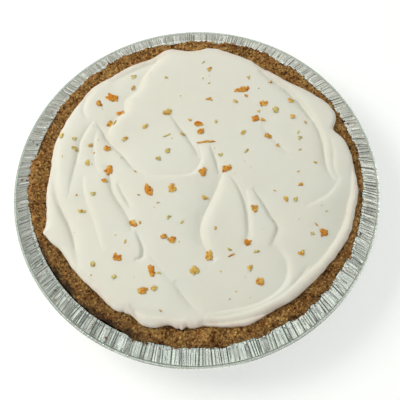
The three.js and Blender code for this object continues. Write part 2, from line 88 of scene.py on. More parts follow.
# Where the outer side of the crust is darkened, in the same form, as shares from 0 to 1: partly burnt
# crumbs and partly painted shade of the gap between the crust and the foil
SCORCH_AND_SHADE = ((213, 16, 0.9), (240, 12, 0.85), (182, 3, 0.4), (285, 30, 0.1), (5, 8, 0.1), (150, 8, 0.3))

# Where the whole rim is darker, towards the same near-black colour, in the same form
DARKER_RIM = ((212, 16, 0.24), (240, 14, 0.34), (150, 16, 0.16))

# Crumbs that lie by themselves, on the foil and at the near edge of the topping:
# [x, y, side of the square they lie in], in mm
CRUMBS_APART = (
    (-98.8, 22.4, 1.6), (-86, 62.1, 1.4), (-102.6, 30.9, 1.3), (-105.4, 10.8, 1.2), (-85.5, -65, 1.6),
    (-56.5, -90.5, 1.4), (-13, -90.5, 2.4), (-11, -92.5, 2.2),
)

# Where crumbs fell on the foil, in the same form
STRAY_RUNS = ((172, 14, 2.2), (150, 12, 0.8), (262, 20, 0.7), (205, 10, 1.0))

# Broad swells and hollows of the topping, in mm: (x, y, radius, height)
SWELLS = (
    (15, -80, 24, -2.0), (88, -36, 16, -1.4), (-48, 64, 14, -1.2), (5, 15, 60, 0.8),
    (-58, 10, 16, -0.8), (-75, 0, 10, 0.8),
)

# Strokes of the spatula, in mm: (crest, dip, lip, high fade, low fade, points of the foot).
# The foot lies "dip" below the topping round it. On its left the topping rises over a rounded lip to a
# crest, which fades out; on its right it climbs back slowly.
STROKES = (
    # plateau at the top, with a lit edge down its left
    (1.9, 1.8, 2.4, 20, 8, (
        (-15, 90), (-20, 84), (-28, 74), (-33, 64), (-40, 58), (-41, 51), (-47, 44), (-51, 37), (-50, 29),
        (-46, 23),
    )),
    # the tongue that ends it: crease at its lower left, lip at its end, edge on its right
    (1.2, 1.5, 2.4, 6, 2.2, (
        (-29, 5), (-35, 8), (-39, 13), (-43, 19), (-48, 25), (-52.5, 31), (-55, 37), (-59, 43),
    )),
    (1.2, 0.6, 1.4, 6, 6, ((3, 22), (4.5, 15), (3.5, 9), (-1, 4), (-8, 2.7), (-18, 3), (-29, 4.5))),
    (0.8, 1.1, 1.6, 9, 3, ((3, 13), (1, 19), (-2, 25), (-5.5, 31), (-9, 37), (-13, 44))),
    # small flap beside it
    (0.6, 0.9, 1.1, 6, 2, ((14, 1), (13.5, 7), (12, 14), (10, 21))),
    # teardrop in the middle
    (1.7, 2.4, 2.6, 13, 7, (
        (17, 4), (13.5, -5), (10, -12), (6, -19), (2.5, -26), (1, -32), (1.6, -39), (4.5, -46), (9, -52),
    )),
    (0.9, 0.8, 1.4, 9, 2, ((25, -45), (28, -37), (28.5, -28), (28, -20), (26.5, -13), (24, -6), (20, 1))),
    # flap to its right
    (0.8, 0.5, 1.2, 8, 2, ((29, -9), (29.5, -20), (29.5, -30), (30, -40))),
    (1.1, 1.1, 1.4, 8, 4, ((40, -46), (43.5, -40), (45.5, -34), (42, -27), (39, -20), (36, -14), (33, -9))),
    # bowl below them
    (1.0, 1.4, 2.0, 7, 10, (
        (42, -43), (46.5, -50), (49, -57), (47.5, -65), (42.5, -71), (34, -76), (24, -79), (12, -80.5),
        (0, -81.5),
    )),
    (0.3, 0.4, 2.6, 10, 6, ((-8, -75), (-13, -69), (-18, -62), (-23, -55), (-28, -48), (-32, -40))),
    (0.8, 1.1, 5.0, 9, 6, ((1, -84), (-5, -79), (-9, -74), (-13, -68), (-16, -62))),
    # hook
    (0.9, 1.2, 1.3, 5, 2, ((-38, -48), (-34, -47), (-33, -42), (-34.5, -36), (-37, -30))),
    # strokes down the left
    (1.0, 0.7, 1.7, 9, 6, ((-67, 8), (-66.5, -4), (-64, -14), (-61, -23), (-59, -31), (-56, -42))),
    (1.1, 1.6, 3.2, 8, 3, ((-39, -32), (-40, -24), (-43, -17), (-47, -10), (-50, -3), (-51, 5), (-54, 14))),
    (0.6, 1.0, 1.0, 3, 2.5, ((-39, -17), (-41.5, -11), (-44.5, -5), (-46.5, 1))),
    (1.0, 2.1, 2.6, 6, 3.5, (
        (-70, -52), (-72, -40), (-73.5, -31), (-76.5, -22), (-80, -14), (-83, -6), (-84.5, 3), (-86, 12),
    )),
    # trough along the rim at the upper left
    (0.6, 1.2, 3.0, 4, 4, ((-50, 70), (-40, 75.5), (-30, 80), (-20, 84), (-12, 87))),
    # curls below it
    (0.5, 1.3, 1.4, 6, 2, ((-58, 67), (-63, 62), (-66, 56), (-66, 50), (-63, 45.5))),
    (0.5, 0.9, 1.4, 6, 2, ((-60, 44), (-64.5, 38), (-68, 31), (-70, 24), (-71, 15))),
    (1.4, 0.8, 3.4, 4, 6, ((-76, -8), (-74.5, 2), (-72.5, 12), (-70, 22), (-68, 30))),
    (0.5, 0.7, 1.4, 4, 2, ((-82, 30), (-83.5, 16), (-82.5, 2))),
    (0.5, 0.6, 1.5, 5, 4, ((-58, 38), (-60, 28), (-60, 18), (-58, 8))),
    # long groove inside the right rim, its second line and the ridge that closes it
    (0.9, 2.2, 2.0, 7, 2.2, ((44, 72), (50, 66.5), (56, 61), (62, 54.5), (67, 47.5), (71, 40.5), (74, 34))),
    (0.8, 1.4, 1.5, 7, 2.2, (
        (65, 50.5), (70, 43.5), (74, 35), (77, 26), (78.5, 17), (78.5, 8), (79, 1), (82, -7),
    )),
    (0.4, 0.6, 1.4, 5, 3, ((83, 22), (84, 12), (83, 3), (84.5, -5))),
    (0.8, 0.5, 1.8, 6, 5, ((86, -3), (82, -10), (77, -15), (70, -19), (63, -22))),
    # raised lip along the right and near rim, and the layers of the near rim
    (1.1, 1.8, 1.8, 5, 9, (
        (94, 4), (92.5, -5), (91, -14), (88, -23), (85, -32), (79, -42), (70, -53), (60, -62), (50, -70),
    )),
    (0.5, 0.9, 1.0, 3, 1.5, (
        (62, -57), (56, -64), (48, -71.5), (38, -77), (26, -81), (12, -83.5), (-2, -84),
    )),
    (0.7, 1.1, 1.2, 3, 2, ((44, -80.5), (34, -84), (22, -86.5), (8, -87.5), (-4, -87))),
    (0.7, 1.1, 1.2, 5, 3, ((-10, -85), (-20, -83), (-30, -80.5), (-40, -77))),
    (0.6, 0.9, 1.0, 4, 2, ((-38, -84), (-39, -79), (-42, -74))),
    # faint stroke in the upper right
    (0.4, 0.6, 2.8, 6, 4, ((57, 12), (52, 18), (46, 26), (42, 33))),
)

# Soft patches of the room, in degrees: (azimuth, elevation, inner radius, outer radius, brightness)
ROOM_PATCHES = (
    (38, 24, 15, 40, 1.5), (270, 60, 20, 48, 1.45), (90, 62, 10, 35, 1.4), (12, 40, 10, 30, 2.4),
    (146, 42, 10, 28, 1.15), (90, 32, 8, 22, 1.7), (215, 20, 8, 24, 0.25), (327, 20, 8, 24, 0.25),
)

# Flecks of zest, in mm: (x, y, length, width, turn in degrees, tone from 0 orange to 1 yellow green)
LARGE_FLECKS = (
    (32.5, 58, 10, 3.4, 5, 0.15), (-48, 59.5, 8, 5, -35, 0.05), (-56.5, 55.5, 4.5, 3.4, 100, 0.1),
    (-43, 48, 6, 3.4, -30, 0.1), (-50, 41.5, 4, 3, 20, 0.3), (-47, 41, 3.5, 2, 10, 0.5),
    (4, 35.5, 5, 3.4, 10, 0.05), (5, 30.5, 4.6, 3, -15, 0.1), (8, 23, 11, 1.8, 0, 0.3),
    (5, 3, 7, 3.6, 65, 0.2), (19, 4.5, 6.5, 3.4, 20, 0.05), (-52, 23.5, 5.4, 3.4, 0, 0.05),
    (-51.5, 9, 6.5, 3.6, 65, 0.05), (-53.5, 3, 3.4, 2.4, 20, 0.1), (-28, -6, 8, 4, -75, 0.1),
    (-14, -5.5, 5.4, 4, 80, 0.3), (-38, -26, 5.4, 3, -60, 0.2), (-16, -37.5, 5, 3.6, -10, 0.1),
    (-20.5, -35.5, 3.6, 2.8, 20, 0.2), (-48, -46, 5.4, 3.6, -15, 0.15), (-28.5, -55.5, 8, 3.2, -85, 0.1),
    (-33.5, -67, 5.5, 4, -20, 0.3), (-27.5, -66, 4, 2, 10, 0.6), (5, -49, 6.5, 4.2, 85, 0.4),
    (27, -42.5, 6, 3.4, -15, 0.05), (-4, -57, 5, 4, 45, 0.45), (33, -66, 5, 4, -20, 0.35),
    (33, -23, 4.6, 3.4, 80, 0.4), (71.5, -39, 5.6, 4.4, 15, 0.05), (45, 47, 4.4, 3.4, 20, 0.25),
    (52, 42.5, 5.4, 3, 80, 0.8), (39, 37, 5.5, 2.8, 10, 0.15), (43.5, 36, 3.6, 1.6, -25, 0.3),
    (45.5, 24.5, 6, 3.4, 50, 0.3), (-15, 45, 6.5, 3, 0, 0.6),
)
SMALL_FLECKS = (
    (-28, 36, 4, 3, 20, 0.4), (-41, 29, 4.4, 3, 10, 0.5), (12, 52.5, 4, 2, 0, 0.2),
    (62, 48.5, 3.6, 3, 0, 0.2), (62, 37, 3.4, 2.6, 80, 0.3), (31, 28, 4.6, 2.4, 60, 0.5),
    (35, 53, 2.6, 2.4, 0, 0.2), (28, 49.5, 3.6, 2.2, -60, 0.4), (13.5, 74, 3.8, 2.2, 70, 0.3),
    (57.5, -51, 4, 2.6, 20, 0.2),
    (52, -17.5, 4.6, 2, 85, 0.2), (57.5, -19, 5, 2.2, 80, 0.6), (62, -8.5, 3, 2.2, 60, 0.3),
    (72, 5.5, 2.6, 2.2, 0, 0.3), (-61, -6, 4, 2.6, 10, 0.8), (-68, -16, 5, 2.2, -25, 0.4),
    (-62, -49, 4, 2.4, 80, 0.6), (-50, -57.5, 3, 2.2, 0, 0.7), (-80, 35, 3.4, 2.4, 60, 0.5),
    (-72, 32, 3, 2.2, -60, 0.8), (-72, 25.5, 5.6, 2.4, -35, 0.6), (-62.5, 27, 4, 2.2, 20, 0.5),
    (-64.5, 15, 5, 2.4, 75, 0.4), (-21, 14, 4, 2.4, -30, 0.7), (-15.5, 18.5, 4, 3, 0, 0.7),
    (-35.5, 7, 2, 1.4, 0, 0.4), (37.5, 66, 3, 1.8, -40, 0.4), (51.5, 63, 2.8, 1.8, 90, 0.3),
    (15, 36, 2.8, 1.8, 30, 0.4), (16, 14, 3, 1.8, 0, 0.9), (32, 15.5, 3.4, 1.8, 70, 0.5),
    (65, 22, 3, 1.8, 0, 0.7), (64, 14, 1.8, 1.4, 0, 0.6), (51, 18, 2.8, 1.8, 20, 0.3),
    (5, -12.5, 3.8, 2.2, -10, 0.4), (10, -33, 2.8, 2, 20, 0.2), (27.5, -57.5, 3.8, 2.2, 80, 0.4),
    (32, -48.5, 3.6, 1.8, 0, 0.8), (-15.5, 29, 5, 1.8, 20, 0.8), (-14, 70, 2.6, 1.6, 0, 0.9),
    (-34, 74, 3.4, 2, 0, 0.8), (-35, 66, 4, 2.2, 50, 0.6), (10, 79.5, 3, 1.2, 0, 0.8),
    (-6.5, 29.5, 3.4, 2.6, 0, 0.4), (-1, 39, 2.8, 1.6, -30, 0.3), (64, 26, 2.6, 1.2, 90, 0.7),
    (69, 32, 2.8, 1.4, 60, 0.7),
    (41.5, 42, 2.2, 1.8, 0, 0.3), (-60, 22, 1.6, 1.2, 0, 0.4), (-17, -24, 3.4, 2.2, 60, 0.9),
    (-9.5, -27.5, 2.4, 1.6, 60, 0.6), (-34, -8.5, 1.8, 1.2, 30, 0.4), (-23, -14.5, 1.8, 1, 60, 0.5),
    (-34, -26, 2.4, 1.6, 20, 0.3), (-43, -37, 2.6, 1.6, 80, 0.4), (-24.5, -57, 2.4, 1.6, -10, 0.4),
    (-24.5, -78.5, 2, 1.4, 0, 0.6), (46, -11.5, 2, 1.2, 90, 0.4), (61, 0, 1.8, 1.2, 60, 0.5),
    (68, -34, 2.6, 1.4, 0, 0.4), (65, -39.5, 3, 1.6, 0, 0.7), (16.5, -46, 3, 1.8, -30, 0.8),
    (17.5, -49.5, 4.4, 1.6, 20, 0.2), (12.5, 64, 1.8, 1.2, 0, 0.4), (75, -26, 1.6, 1.2, 0, 0.9),
)


# ---- Colour and node helpers ---------------------------------------------------


def linear(colour):
    """Turns an sRGB hex colour into linear red, green, blue and a full alpha."""
    parts = [int(colour[i : i + 2], 16) / 255 for i in (1, 3, 5)]
    curved = [c / 12.92 if c <= 0.04045 else ((c + 0.055) / 1.055) ** 2.4 for c in parts]
    return (*curved, 1.0)


def add(tree, kind, inputs=(), output=None, **settings):
    """Adds a node with its settings, fills or links its inputs, which are given by name or in the node's own
    order, and returns an output."""
    made = tree.nodes.new(kind)
    for name, value in settings.items():
        setattr(made, name, value)
    if isinstance(inputs, dict):
        named = {socket.name: socket for socket in reversed(made.inputs) if socket.enabled}
        pairs = [(named[name], value) for name, value in inputs.items()]
    else:
        pairs = zip(made.inputs, inputs)
    for socket, value in pairs:
        if isinstance(value, bpy.types.NodeSocket):
            tree.links.new(value, socket)
        else:
            socket.default_value = value
    shown = [socket for socket in made.outputs if socket.enabled and output in (None, socket.name)]
    return shown[0] if shown else made


def blank_material(name):
    """A material with an empty tree, the tree, and the place on the object in metres."""
    material = bpy.data.materials.new(name)
    material.use_nodes = True
    tree = material.node_tree
    tree.nodes.clear()
    return material, tree, add(tree, "ShaderNodeTexCoord", output="Object")


def colour_steps(tree, factor, stops):
    """Blends linear colours by a factor: stops are (place from 0 to 1, colour)."""
    blended = add(tree, "ShaderNodeValToRGB", {"Fac": factor}, "Color")
    elements = blended.node.color_ramp.elements
    while len(elements) < len(stops):
        elements.new(0.5)
    for element, (place, colour) in zip(elements, stops):
        element.position = place
        element.color = (*colour[:3], 1)
    return blended


def finish_material(material, surface):
    """Ends a material's tree with its surface."""
    add(material.node_tree, "ShaderNodeOutputMaterial", {"Surface": surface})
    return material


# ---- Mesh helpers --------------------------------------------------------------


def ring(steps, rule):
    """Points round the pie: rule gives radius and height, in metres, for an array of directions."""
    angles = np.linspace(0, 2 * np.pi, steps, endpoint=False)
    radius, height = rule(angles)
    return np.stack([radius * np.cos(angles), radius * np.sin(angles), height * np.ones(steps)], 1)


def loft(rings):
    """Corners and faces of a closed body through rings that start and end in one point. Rings of one count
    are joined by quads, and others by triangles that keep pace round both."""
    faces = []
    first = 0
    for below_ring, above_ring in zip(rings, rings[1:]):
        below, above = len(below_ring), len(above_ring)
        start = first + below
        if below == above:
            for i in range(below):
                after = (i + 1) % below
                faces.append((first + i, first + after, start + after, start + i))
        else:
            i = j = 0
            last_i = 0 if below == 1 else below
            last_j = 0 if above == 1 else above
            while i < last_i or j < last_j:
                if j >= last_j or (i < last_i and (i + 1) / below <= (j + 1) / above):
                    faces.append((first + i % below, first + (i + 1) % below, start + j % above))
                    i += 1
                else:
                    faces.append((first + i % below, start + (j + 1) % above, start + j % above))
                    j += 1
        first = start
    return np.concatenate(rings), faces


def mesh_object(name, corners, faces, material, sharp_angle=None):
    """A smooth shaded object at the origin, with its sharp edges kept where an angle is given."""
    mesh = bpy.data.meshes.new(name)
    mesh.from_pydata([tuple(c) for c in corners], [], faces)
    mesh.validate()
    return object_from_mesh(name, mesh, material, sharp_angle)


def object_from_mesh(name, mesh, material, sharp_angle=None):
    """The same, from a mesh that is there already."""
    mesh.name = name
    mesh.shade_smooth()
    if sharp_angle is not None:
        mesh.set_sharp_from_angle(angle=sharp_angle)
    mesh.materials.clear()
    mesh.materials.append(material)
    made = bpy.data.objects.new(name, mesh)
    bpy.context.scene.collection.objects.link(made)
    return made


def mark(mesh, name, values, kind="FLOAT"):
    """Stores a number or a vector for each corner point of a mesh."""
    attribute = mesh.attributes.new(name, kind, "POINT")
    key = "vector" if kind == "FLOAT_VECTOR" else "value"
    attribute.data.foreach_set(key, np.array(values, np.float32).ravel())


def corner_places(mesh):
    """Where a mesh's corner points are."""
    places = np.zeros(len(mesh.vertices) * 3)
    mesh.vertices.foreach_get("co", places)
    return places.reshape(-1, 3)


def bulges(lobes, angles):
    """Sum of rounded bulges, in metres, for directions in radians."""
    total = np.zeros_like(angles)
    for centre, width, size in lobes:
        away = (np.degrees(angles) - centre + 180) % 360 - 180
        total += size * MM * np.exp(-((away / width) ** 2))
    return total


def uneven_wave(seed, slowest, fastest, waves=5):
    """A wave round the pie between about -1 and 1, of sine waves with seeded turns and phases."""
    draw = np.random.default_rng(seed)
    turns = draw.integers(slowest, fastest + 1, waves)
    phases = draw.uniform(0, 2 * np.pi, waves)
    return lambda angles: sum(np.sin(t * angles + p) for t, p in zip(turns, phases)) / (waves / 2)


def field(points, size, seed, octaves=1):
    """Smooth noise between about -1 and 1 at points in metres, with features of a size in metres. Each
    octave is half as wide as the one before and 1.8 times as low."""
    offset = Vector((3.7, -2.3, 1.1)) * seed
    total = np.zeros(len(points))
    for octave in range(octaves):
        scale = 2**octave / size
        values = [noise.noise(Vector(p) * scale + offset) for p in points]
        total += np.array(values) / 1.8**octave
    return total


def grow(source, tree, values):
    """Runs a Geometry Nodes tree with its named inputs set on a mesh, and returns the plain mesh it makes."""
    carrier = bpy.data.objects.new("carrier", source)
    bpy.context.scene.collection.objects.link(carrier)
    modifier = carrier.modifiers.new("grow", "NODES")
    modifier.node_group = tree
    for item in tree.interface.items_tree:
        if item.item_type == "SOCKET" and item.in_out == "INPUT" and item.name in values:
            modifier[item.identifier] = values[item.name]
    carrier.update_tag()
    evaluated = carrier.evaluated_get(bpy.context.evaluated_depsgraph_get())
    made = bpy.data.meshes.new_from_object(evaluated)
    carrier.modifiers.clear()
    bpy.data.objects.remove(carrier)
    return made


def new_tree(name, sockets):
    """A Geometry Nodes tree that takes a geometry and the inputs given as (name, type), and its inputs."""
    tree = bpy.data.node_groups.new(name, "GeometryNodeTree")
    tree.interface.new_socket("Geometry", in_out="INPUT", socket_type="NodeSocketGeometry")
    tree.interface.new_socket("Geometry", in_out="OUTPUT", socket_type="NodeSocketGeometry")
    for label, kind in sockets:
        tree.interface.new_socket(label, in_out="INPUT", socket_type=f"NodeSocket{kind}")
    return tree, tree.nodes.new("NodeGroupInput").outputs


def end_tree(tree, geometry, material):
    """Realizes what a tree made, gives it its material and sends it out."""
    real = add(tree, "GeometryNodeRealizeInstances", {"Geometry": geometry})
    painted = add(tree, "GeometryNodeSetMaterial", {"Geometry": real, "Material": material})
    add(tree, "NodeGroupOutput", {"Geometry": painted})


# ---- Sizes and colours ---------------------------------------------------------


def length_setting(name, description, default):
    """A length in metres."""
    return FloatProperty(name=name, description=description, default=default, unit="LENGTH", precision=5)


def angle_setting(name, description, degrees):
    """An angle, given in degrees."""
    return FloatProperty(name=name, description=description, default=math.radians(degrees), unit="ROTATION")


def colour_setting(name, description, default):
    """A colour, given as sRGB hex."""
    return FloatVectorProperty(
        name=name, description=description, default=linear(default)[:3], subtype="COLOR", size=3, min=0, max=1
    )


class PanSettings(bpy.types.PropertyGroup):
    """Sizes and finish of the foil pan"""

    radius: length_setting("Radius", "Out to the rolled edge", PAN_HIGH.x)
    base_radius: length_setting("Base radius", "Radius of the flat base", 83 * MM)
    shoulder_radius: length_setting("Shoulder radius", "Where the wall turns out into the rim", 99.8 * MM)
    shoulder_height: length_setting("Shoulder height", "Top of the pan", PAN_HIGH.z)
    roll_height: length_setting("Roll height", "Centre of the rolled edge", 27.4 * MM)
    roll_radius: length_setting("Roll radius", "Radius of the rolled edge", 0.95 * MM)
    crown: length_setting("Crown", "How far the rim bows up", 0.35 * MM)
    foil: length_setting("Foil", "Thickness drawn for the foil", 0.3 * MM)
    pleats: IntProperty(name="Pleats", description="Pleats round the pan", default=410, min=12)
    pleat_depth: length_setting("Pleat depth", "Common depth of the groove between two pleats", 0.5 * MM)
    lean: FloatProperty(name="Lean", description="How far pleats stray, in pleat widths", default=0.1)
    crowding: FloatProperty(name="Crowding", description="How far pleats crowd, in radians", default=0.08)
    seed: IntProperty(name="Seed", description="Picks the pattern of the pleats", default=4)
    colour: colour_setting("Foil colour", "Tint of the bare aluminium", "#f6f7f1")
    dull: colour_setting("Dull foil", "Its tint where it is dull", "#eaece5")
    # Painted shade: the colour that the tight folds of the pleats are darkened towards
    fold_shade_colour: colour_setting("Folds", "Colour in the tight folds of the pleats", "#595f5a")


class CrustSettings(bpy.types.PropertyGroup):
    """Sizes and finish of the crumb crust"""

    crest_radius: length_setting("Crest radius", "Highest line of the rim", 96 * MM)
    crest_height: length_setting("Crest height", "Height of that line", 34.9 * MM)
    inner_edge: length_setting("Inner edge", "Where the rim drops into the bowl", 86 * MM)
    edge_radius: length_setting("Edge radius", "Mean of the lumpy outer edge", 99.6 * MM)
    floor_radius: length_setting("Floor radius", "Radius of the bowl's floor", 75 * MM)
    floor: length_setting("Floor", "Thickness of the floor", 5.6 * MM)
    crags: length_setting("Crags", "Height of the crags", 0.85 * MM)
    crumb: length_setting("Crumb", "Width of a common crumb", 1.2 * MM)
    crumbs_per_cm2: FloatProperty(name="Crumbs", description="Loose crumbs on each square cm", default=75)
    strays: IntProperty(name="Strays", description="Crumbs that fell on the foil", default=34, min=0)
    dark: colour_setting("Dark crumb", "Colour in the hollows and of the most baked crumbs", "#41230b")
    middle: colour_setting("Middle crumb", "Colour of most crumbs", "#8e6636")
    light: colour_setting("Light crumb", "Colour of the palest crumbs", "#c9a265")
    # Near-black of the outer side: partly burnt crumbs and partly painted shade of the gap by the foil
    burnt_and_shade: colour_setting("Burnt crumb", "Colour of the outer side where it baked longest", "#38281b")


class ToppingSettings(bpy.types.PropertyGroup):
    """Sizes and finish of the whipped topping"""

    top: length_setting("Top", "Height of the middle of the top", 40.4 * MM)
    dome: length_setting("Dome", "Fall of the top at the rim", 1.2 * MM)
    radius: length_setting("Radius", "Mean radius of the outline", 90 * MM)
    edge_width: length_setting("Edge width", "Least width of the rounded edge", 3.5 * MM)
    edge_drop: length_setting("Edge drop", "Least fall of the rounded edge", 1.6 * MM)
    depth: FloatProperty(name="Depth", description="Share of the strokes' full depth", default=1.5, min=0)
    rings: IntProperty(name="Rings", description="Rings of points: ring k holds 6k", default=150, min=12)
    pale: colour_setting("Pale cream", "Colour of most of the topping", "#dedcd4")
    warm: colour_setting("Warm cream", "Colour of its warmer patches", "#ddd7ca")


class ZestSettings(bpy.types.PropertyGroup):
    """Sizes and colours of the zest"""

    shaving: length_setting("Shaving", "Length of a common shaving", 2.6 * MM)
    thickness: length_setting("Thickness", "Thickness of a shaving", 0.35 * MM)
    specks: IntProperty(name="Specks", description="Scattered specks", default=40, min=0)
    speck: length_setting("Speck", "Length of a common speck", 0.9 * MM)
    reach: length_setting("Reach", "How far out the specks lie", 86 * MM)
    orange: colour_setting("Orange", "Colour of the ripest peel", "#d0800e")
    yellow: colour_setting("Yellow", "Colour of the paler peel", "#deb455")
    green: colour_setting("Green", "Colour of the least ripe peel", "#cdc077")


class StageSettings(bpy.types.PropertyGroup):
    """Floor, light and camera"""

    distance: length_setting("Distance", "Camera to the middle of the pie", 0.52)
    elevation: angle_setting("Elevation", "Camera above the horizon", 66.55)
    roll: angle_setting("Roll", "Turn of the picture", 3.9)
    lens: FloatProperty(name="Lens", description="Focal length in mm on a 36 mm sensor", default=76.95)
    aim_height: length_setting("Aim height", "Height of the point that the camera looks at", 27 * MM)
    shift_x: FloatProperty(name="Shift X", description="Frame shift to the right", default=0.01025)
    shift_y: FloatProperty(name="Shift Y", description="Frame shift upwards", default=-0.0324)
    key_azimuth: angle_setting("Key azimuth", "Direction of the key light", 160)
    key_elevation: angle_setting("Key elevation", "Its height above the horizon", 42)
    key_distance: length_setting("Key distance", "Its distance", 1.2)
    key_size: length_setting("Key size", "Side of its square", 0.7)
    key: FloatProperty(name="Key", description="Power of the key light in watts", default=10.5)
    sky: FloatProperty(name="Sky", description="Strength of the light all round", default=0.88)


# ---- Materials -----------------------------------------------------------------


def pressed_aluminium(settings):
    """Aluminium foil, cold rolled and pressed: bright, with a satin haze from the rolls that clears in
    places, small dents where it was handled, and painted shade darkening its tight folds."""
    material, tree, place = blank_material("pressed_aluminium_foil")
    dents = add(tree, "ShaderNodeTexNoise", {"Vector": place, "Scale": 1 / (3.5 * MM), "Detail": 2.0}, "Fac")
    cloud = add(tree, "ShaderNodeTexNoise", {"Vector": place, "Scale": 1 / (14 * MM), "Detail": 2.0}, "Fac")
    haze = add(tree, "ShaderNodeMapRange", [cloud, 0.0, 1.0, 0.16, 0.34])
    tints = {"Factor": cloud, "A": (*settings.colour, 1), "B": (*settings.dull, 1)}
    shade = add(tree, "ShaderNodeMix", tints, data_type="RGBA")
    # Painted shade: the tight folds are darkened, standing in for light lost between their walls
    fold = add(tree, "ShaderNodeAttribute", output="Fac", attribute_name="fold")
    lost = add(tree, "ShaderNodeMapRange", [fold, 0.1, 0.8, 0.0, 0.62])
    tints = {"Factor": lost, "A": shade, "B": (*settings.fold_shade_colour, 1)}
    shade = add(tree, "ShaderNodeMix", tints, data_type="RGBA")
    bump = add(tree, "ShaderNodeBump", {"Strength": 0.1, "Distance": 0.25 * MM, "Height": dents})
    surface = add(tree, "ShaderNodeBsdfPrincipled", {
        "Base Color": shade, "Metallic": 1.0, "Roughness": haze, "Normal": bump,
    })
    return finish_material(material, surface)


def baked_crumbs(settings, name, loose):
    """Biscuit crumbs bound with butter and baked: matt and sandy, browner in patches, with single crumbs
    paler or darker, and nearly black along the outer side, partly burnt and partly painted shade. Loose
    crumbs take their shade from the one stored on each, and pressed ones from grains about a crumb wide."""
    material, tree, place = blank_material(name)
    patches = add(tree, "ShaderNodeTexNoise", {"Vector": place, "Scale": 1 / (12 * MM), "Detail": 2.0}, "Fac")
    sandy = {"Vector": place, "Scale": 1 / (1.3 * settings.crumb), "Detail": 3.0, "Roughness": 0.7}
    grain = add(tree, "ShaderNodeTexNoise", sandy, "Fac")
    if loose:
        each = add(tree, "ShaderNodeAttribute", output="Fac", attribute_name="shade")
        share = 0.55
    else:
        cells = add(tree, "ShaderNodeTexVoronoi", {"Vector": place, "Scale": 1 / settings.crumb}, "Color")
        each = add(tree, "ShaderNodeSeparateColor", {"Color": cells}, "Red")
        share = 0.22
    # The tone takes most from the grain, then from the patches, then from each crumb
    tone = add(tree, "ShaderNodeMath", [each, share, -share / 2], operation="MULTIPLY_ADD")
    tone = add(tree, "ShaderNodeMath", [patches, 0.5, tone], operation="MULTIPLY_ADD")
    tone = add(tree, "ShaderNodeMath", [grain, 0.75, tone], operation="MULTIPLY_ADD")
    tone = add(tree, "ShaderNodeMapRange", [tone, 0.31, 0.95])
    stops = ((0.1, settings.dark), (0.5, settings.middle), (0.95, settings.light))
    shade = colour_steps(tree, tone, stops)
    # Butter browned the crumbs redder in some patches than in others
    reds = add(tree, "ShaderNodeTexNoise", {"Vector": place, "Scale": 1 / (7 * MM), "Detail": 1.0}, "Fac")
    redness = add(tree, "ShaderNodeMapRange", [reds, 0.42, 0.62, 0.0, 0.5])
    tints = {"Factor": redness, "A": shade, "B": linear("#f8ddd0")}
    shade = add(tree, "ShaderNodeMix", tints, data_type="RGBA", blend_type="MULTIPLY")
    # Painted shade and burn: the colour goes towards near black where the attribute says
    scorch_and_shade = add(tree, "ShaderNodeAttribute", output="Fac", attribute_name="scorch_and_shade")
    tints = {"Factor": scorch_and_shade, "A": shade, "B": (*settings.burnt_and_shade, 1)}
    shade = add(tree, "ShaderNodeMix", tints, data_type="RGBA")
    bump = add(tree, "ShaderNodeBump", {"Strength": 0.6, "Distance": 0.25 * MM, "Height": grain})
    surface = add(tree, "ShaderNodeBsdfPrincipled", {
        "Base Color": shade, "Roughness": 0.86, "IOR": 1.45, "Specular IOR Level": 0.3, "Normal": bump,
    })
    return finish_material(material, surface)


def whipped_cream(settings):
    """Whipped topping, an airy foam of oil and water: warm white, a soft satin sheen, light that spreads
    a few millimetres below the surface, and fine pits where bubbles broke."""
    material, tree, place = blank_material("whipped_cream")
    clouds = add(tree, "ShaderNodeTexNoise", {"Vector": place, "Scale": 1 / (35 * MM), "Detail": 2.0}, "Fac")
    # Bubbles drawn 0.7 mm wide, which is as fine as the picture shows
    pits = add(tree, "ShaderNodeTexNoise", {"Vector": place, "Scale": 1 / (1.4 * MM), "Detail": 2.0}, "Fac")
    tints = {"Factor": clouds, "A": (*settings.pale, 1), "B": (*settings.warm, 1)}
    shade = add(tree, "ShaderNodeMix", tints, data_type="RGBA")
    # The rim is pinker, in streaks, where it lies thin on the crumbs
    stain = add(tree, "ShaderNodeAttribute", output="Fac", attribute_name="stain")
    streaks = add(tree, "ShaderNodeTexNoise", {"Vector": place, "Scale": 1 / (4 * MM), "Detail": 2.0}, "Fac")
    streaks = add(tree, "ShaderNodeMapRange", [streaks, 0.3, 0.6, 0.3, 1.0])
    stain = add(tree, "ShaderNodeMath", [stain, streaks], operation="MULTIPLY")
    tints = {"Factor": stain, "A": shade, "B": linear("#f5e1de")}
    shade = add(tree, "ShaderNodeMix", tints, data_type="RGBA", blend_type="MULTIPLY")
    haze = add(tree, "ShaderNodeMapRange", [clouds, 0.0, 1.0, 0.42, 0.56])
    bump = add(tree, "ShaderNodeBump", {"Strength": 0.25, "Distance": 0.1 * MM, "Height": pits})
    surface = add(tree, "ShaderNodeBsdfPrincipled", {
        "Base Color": shade, "Roughness": haze, "IOR": 1.44, "Specular IOR Level": 0.35,
        "Subsurface Weight": 0.25, "Subsurface Radius": (1.0, 0.85, 0.6), "Subsurface Scale": 0.7 * MM,
        "Normal": bump,
    })
    return finish_material(material, surface)


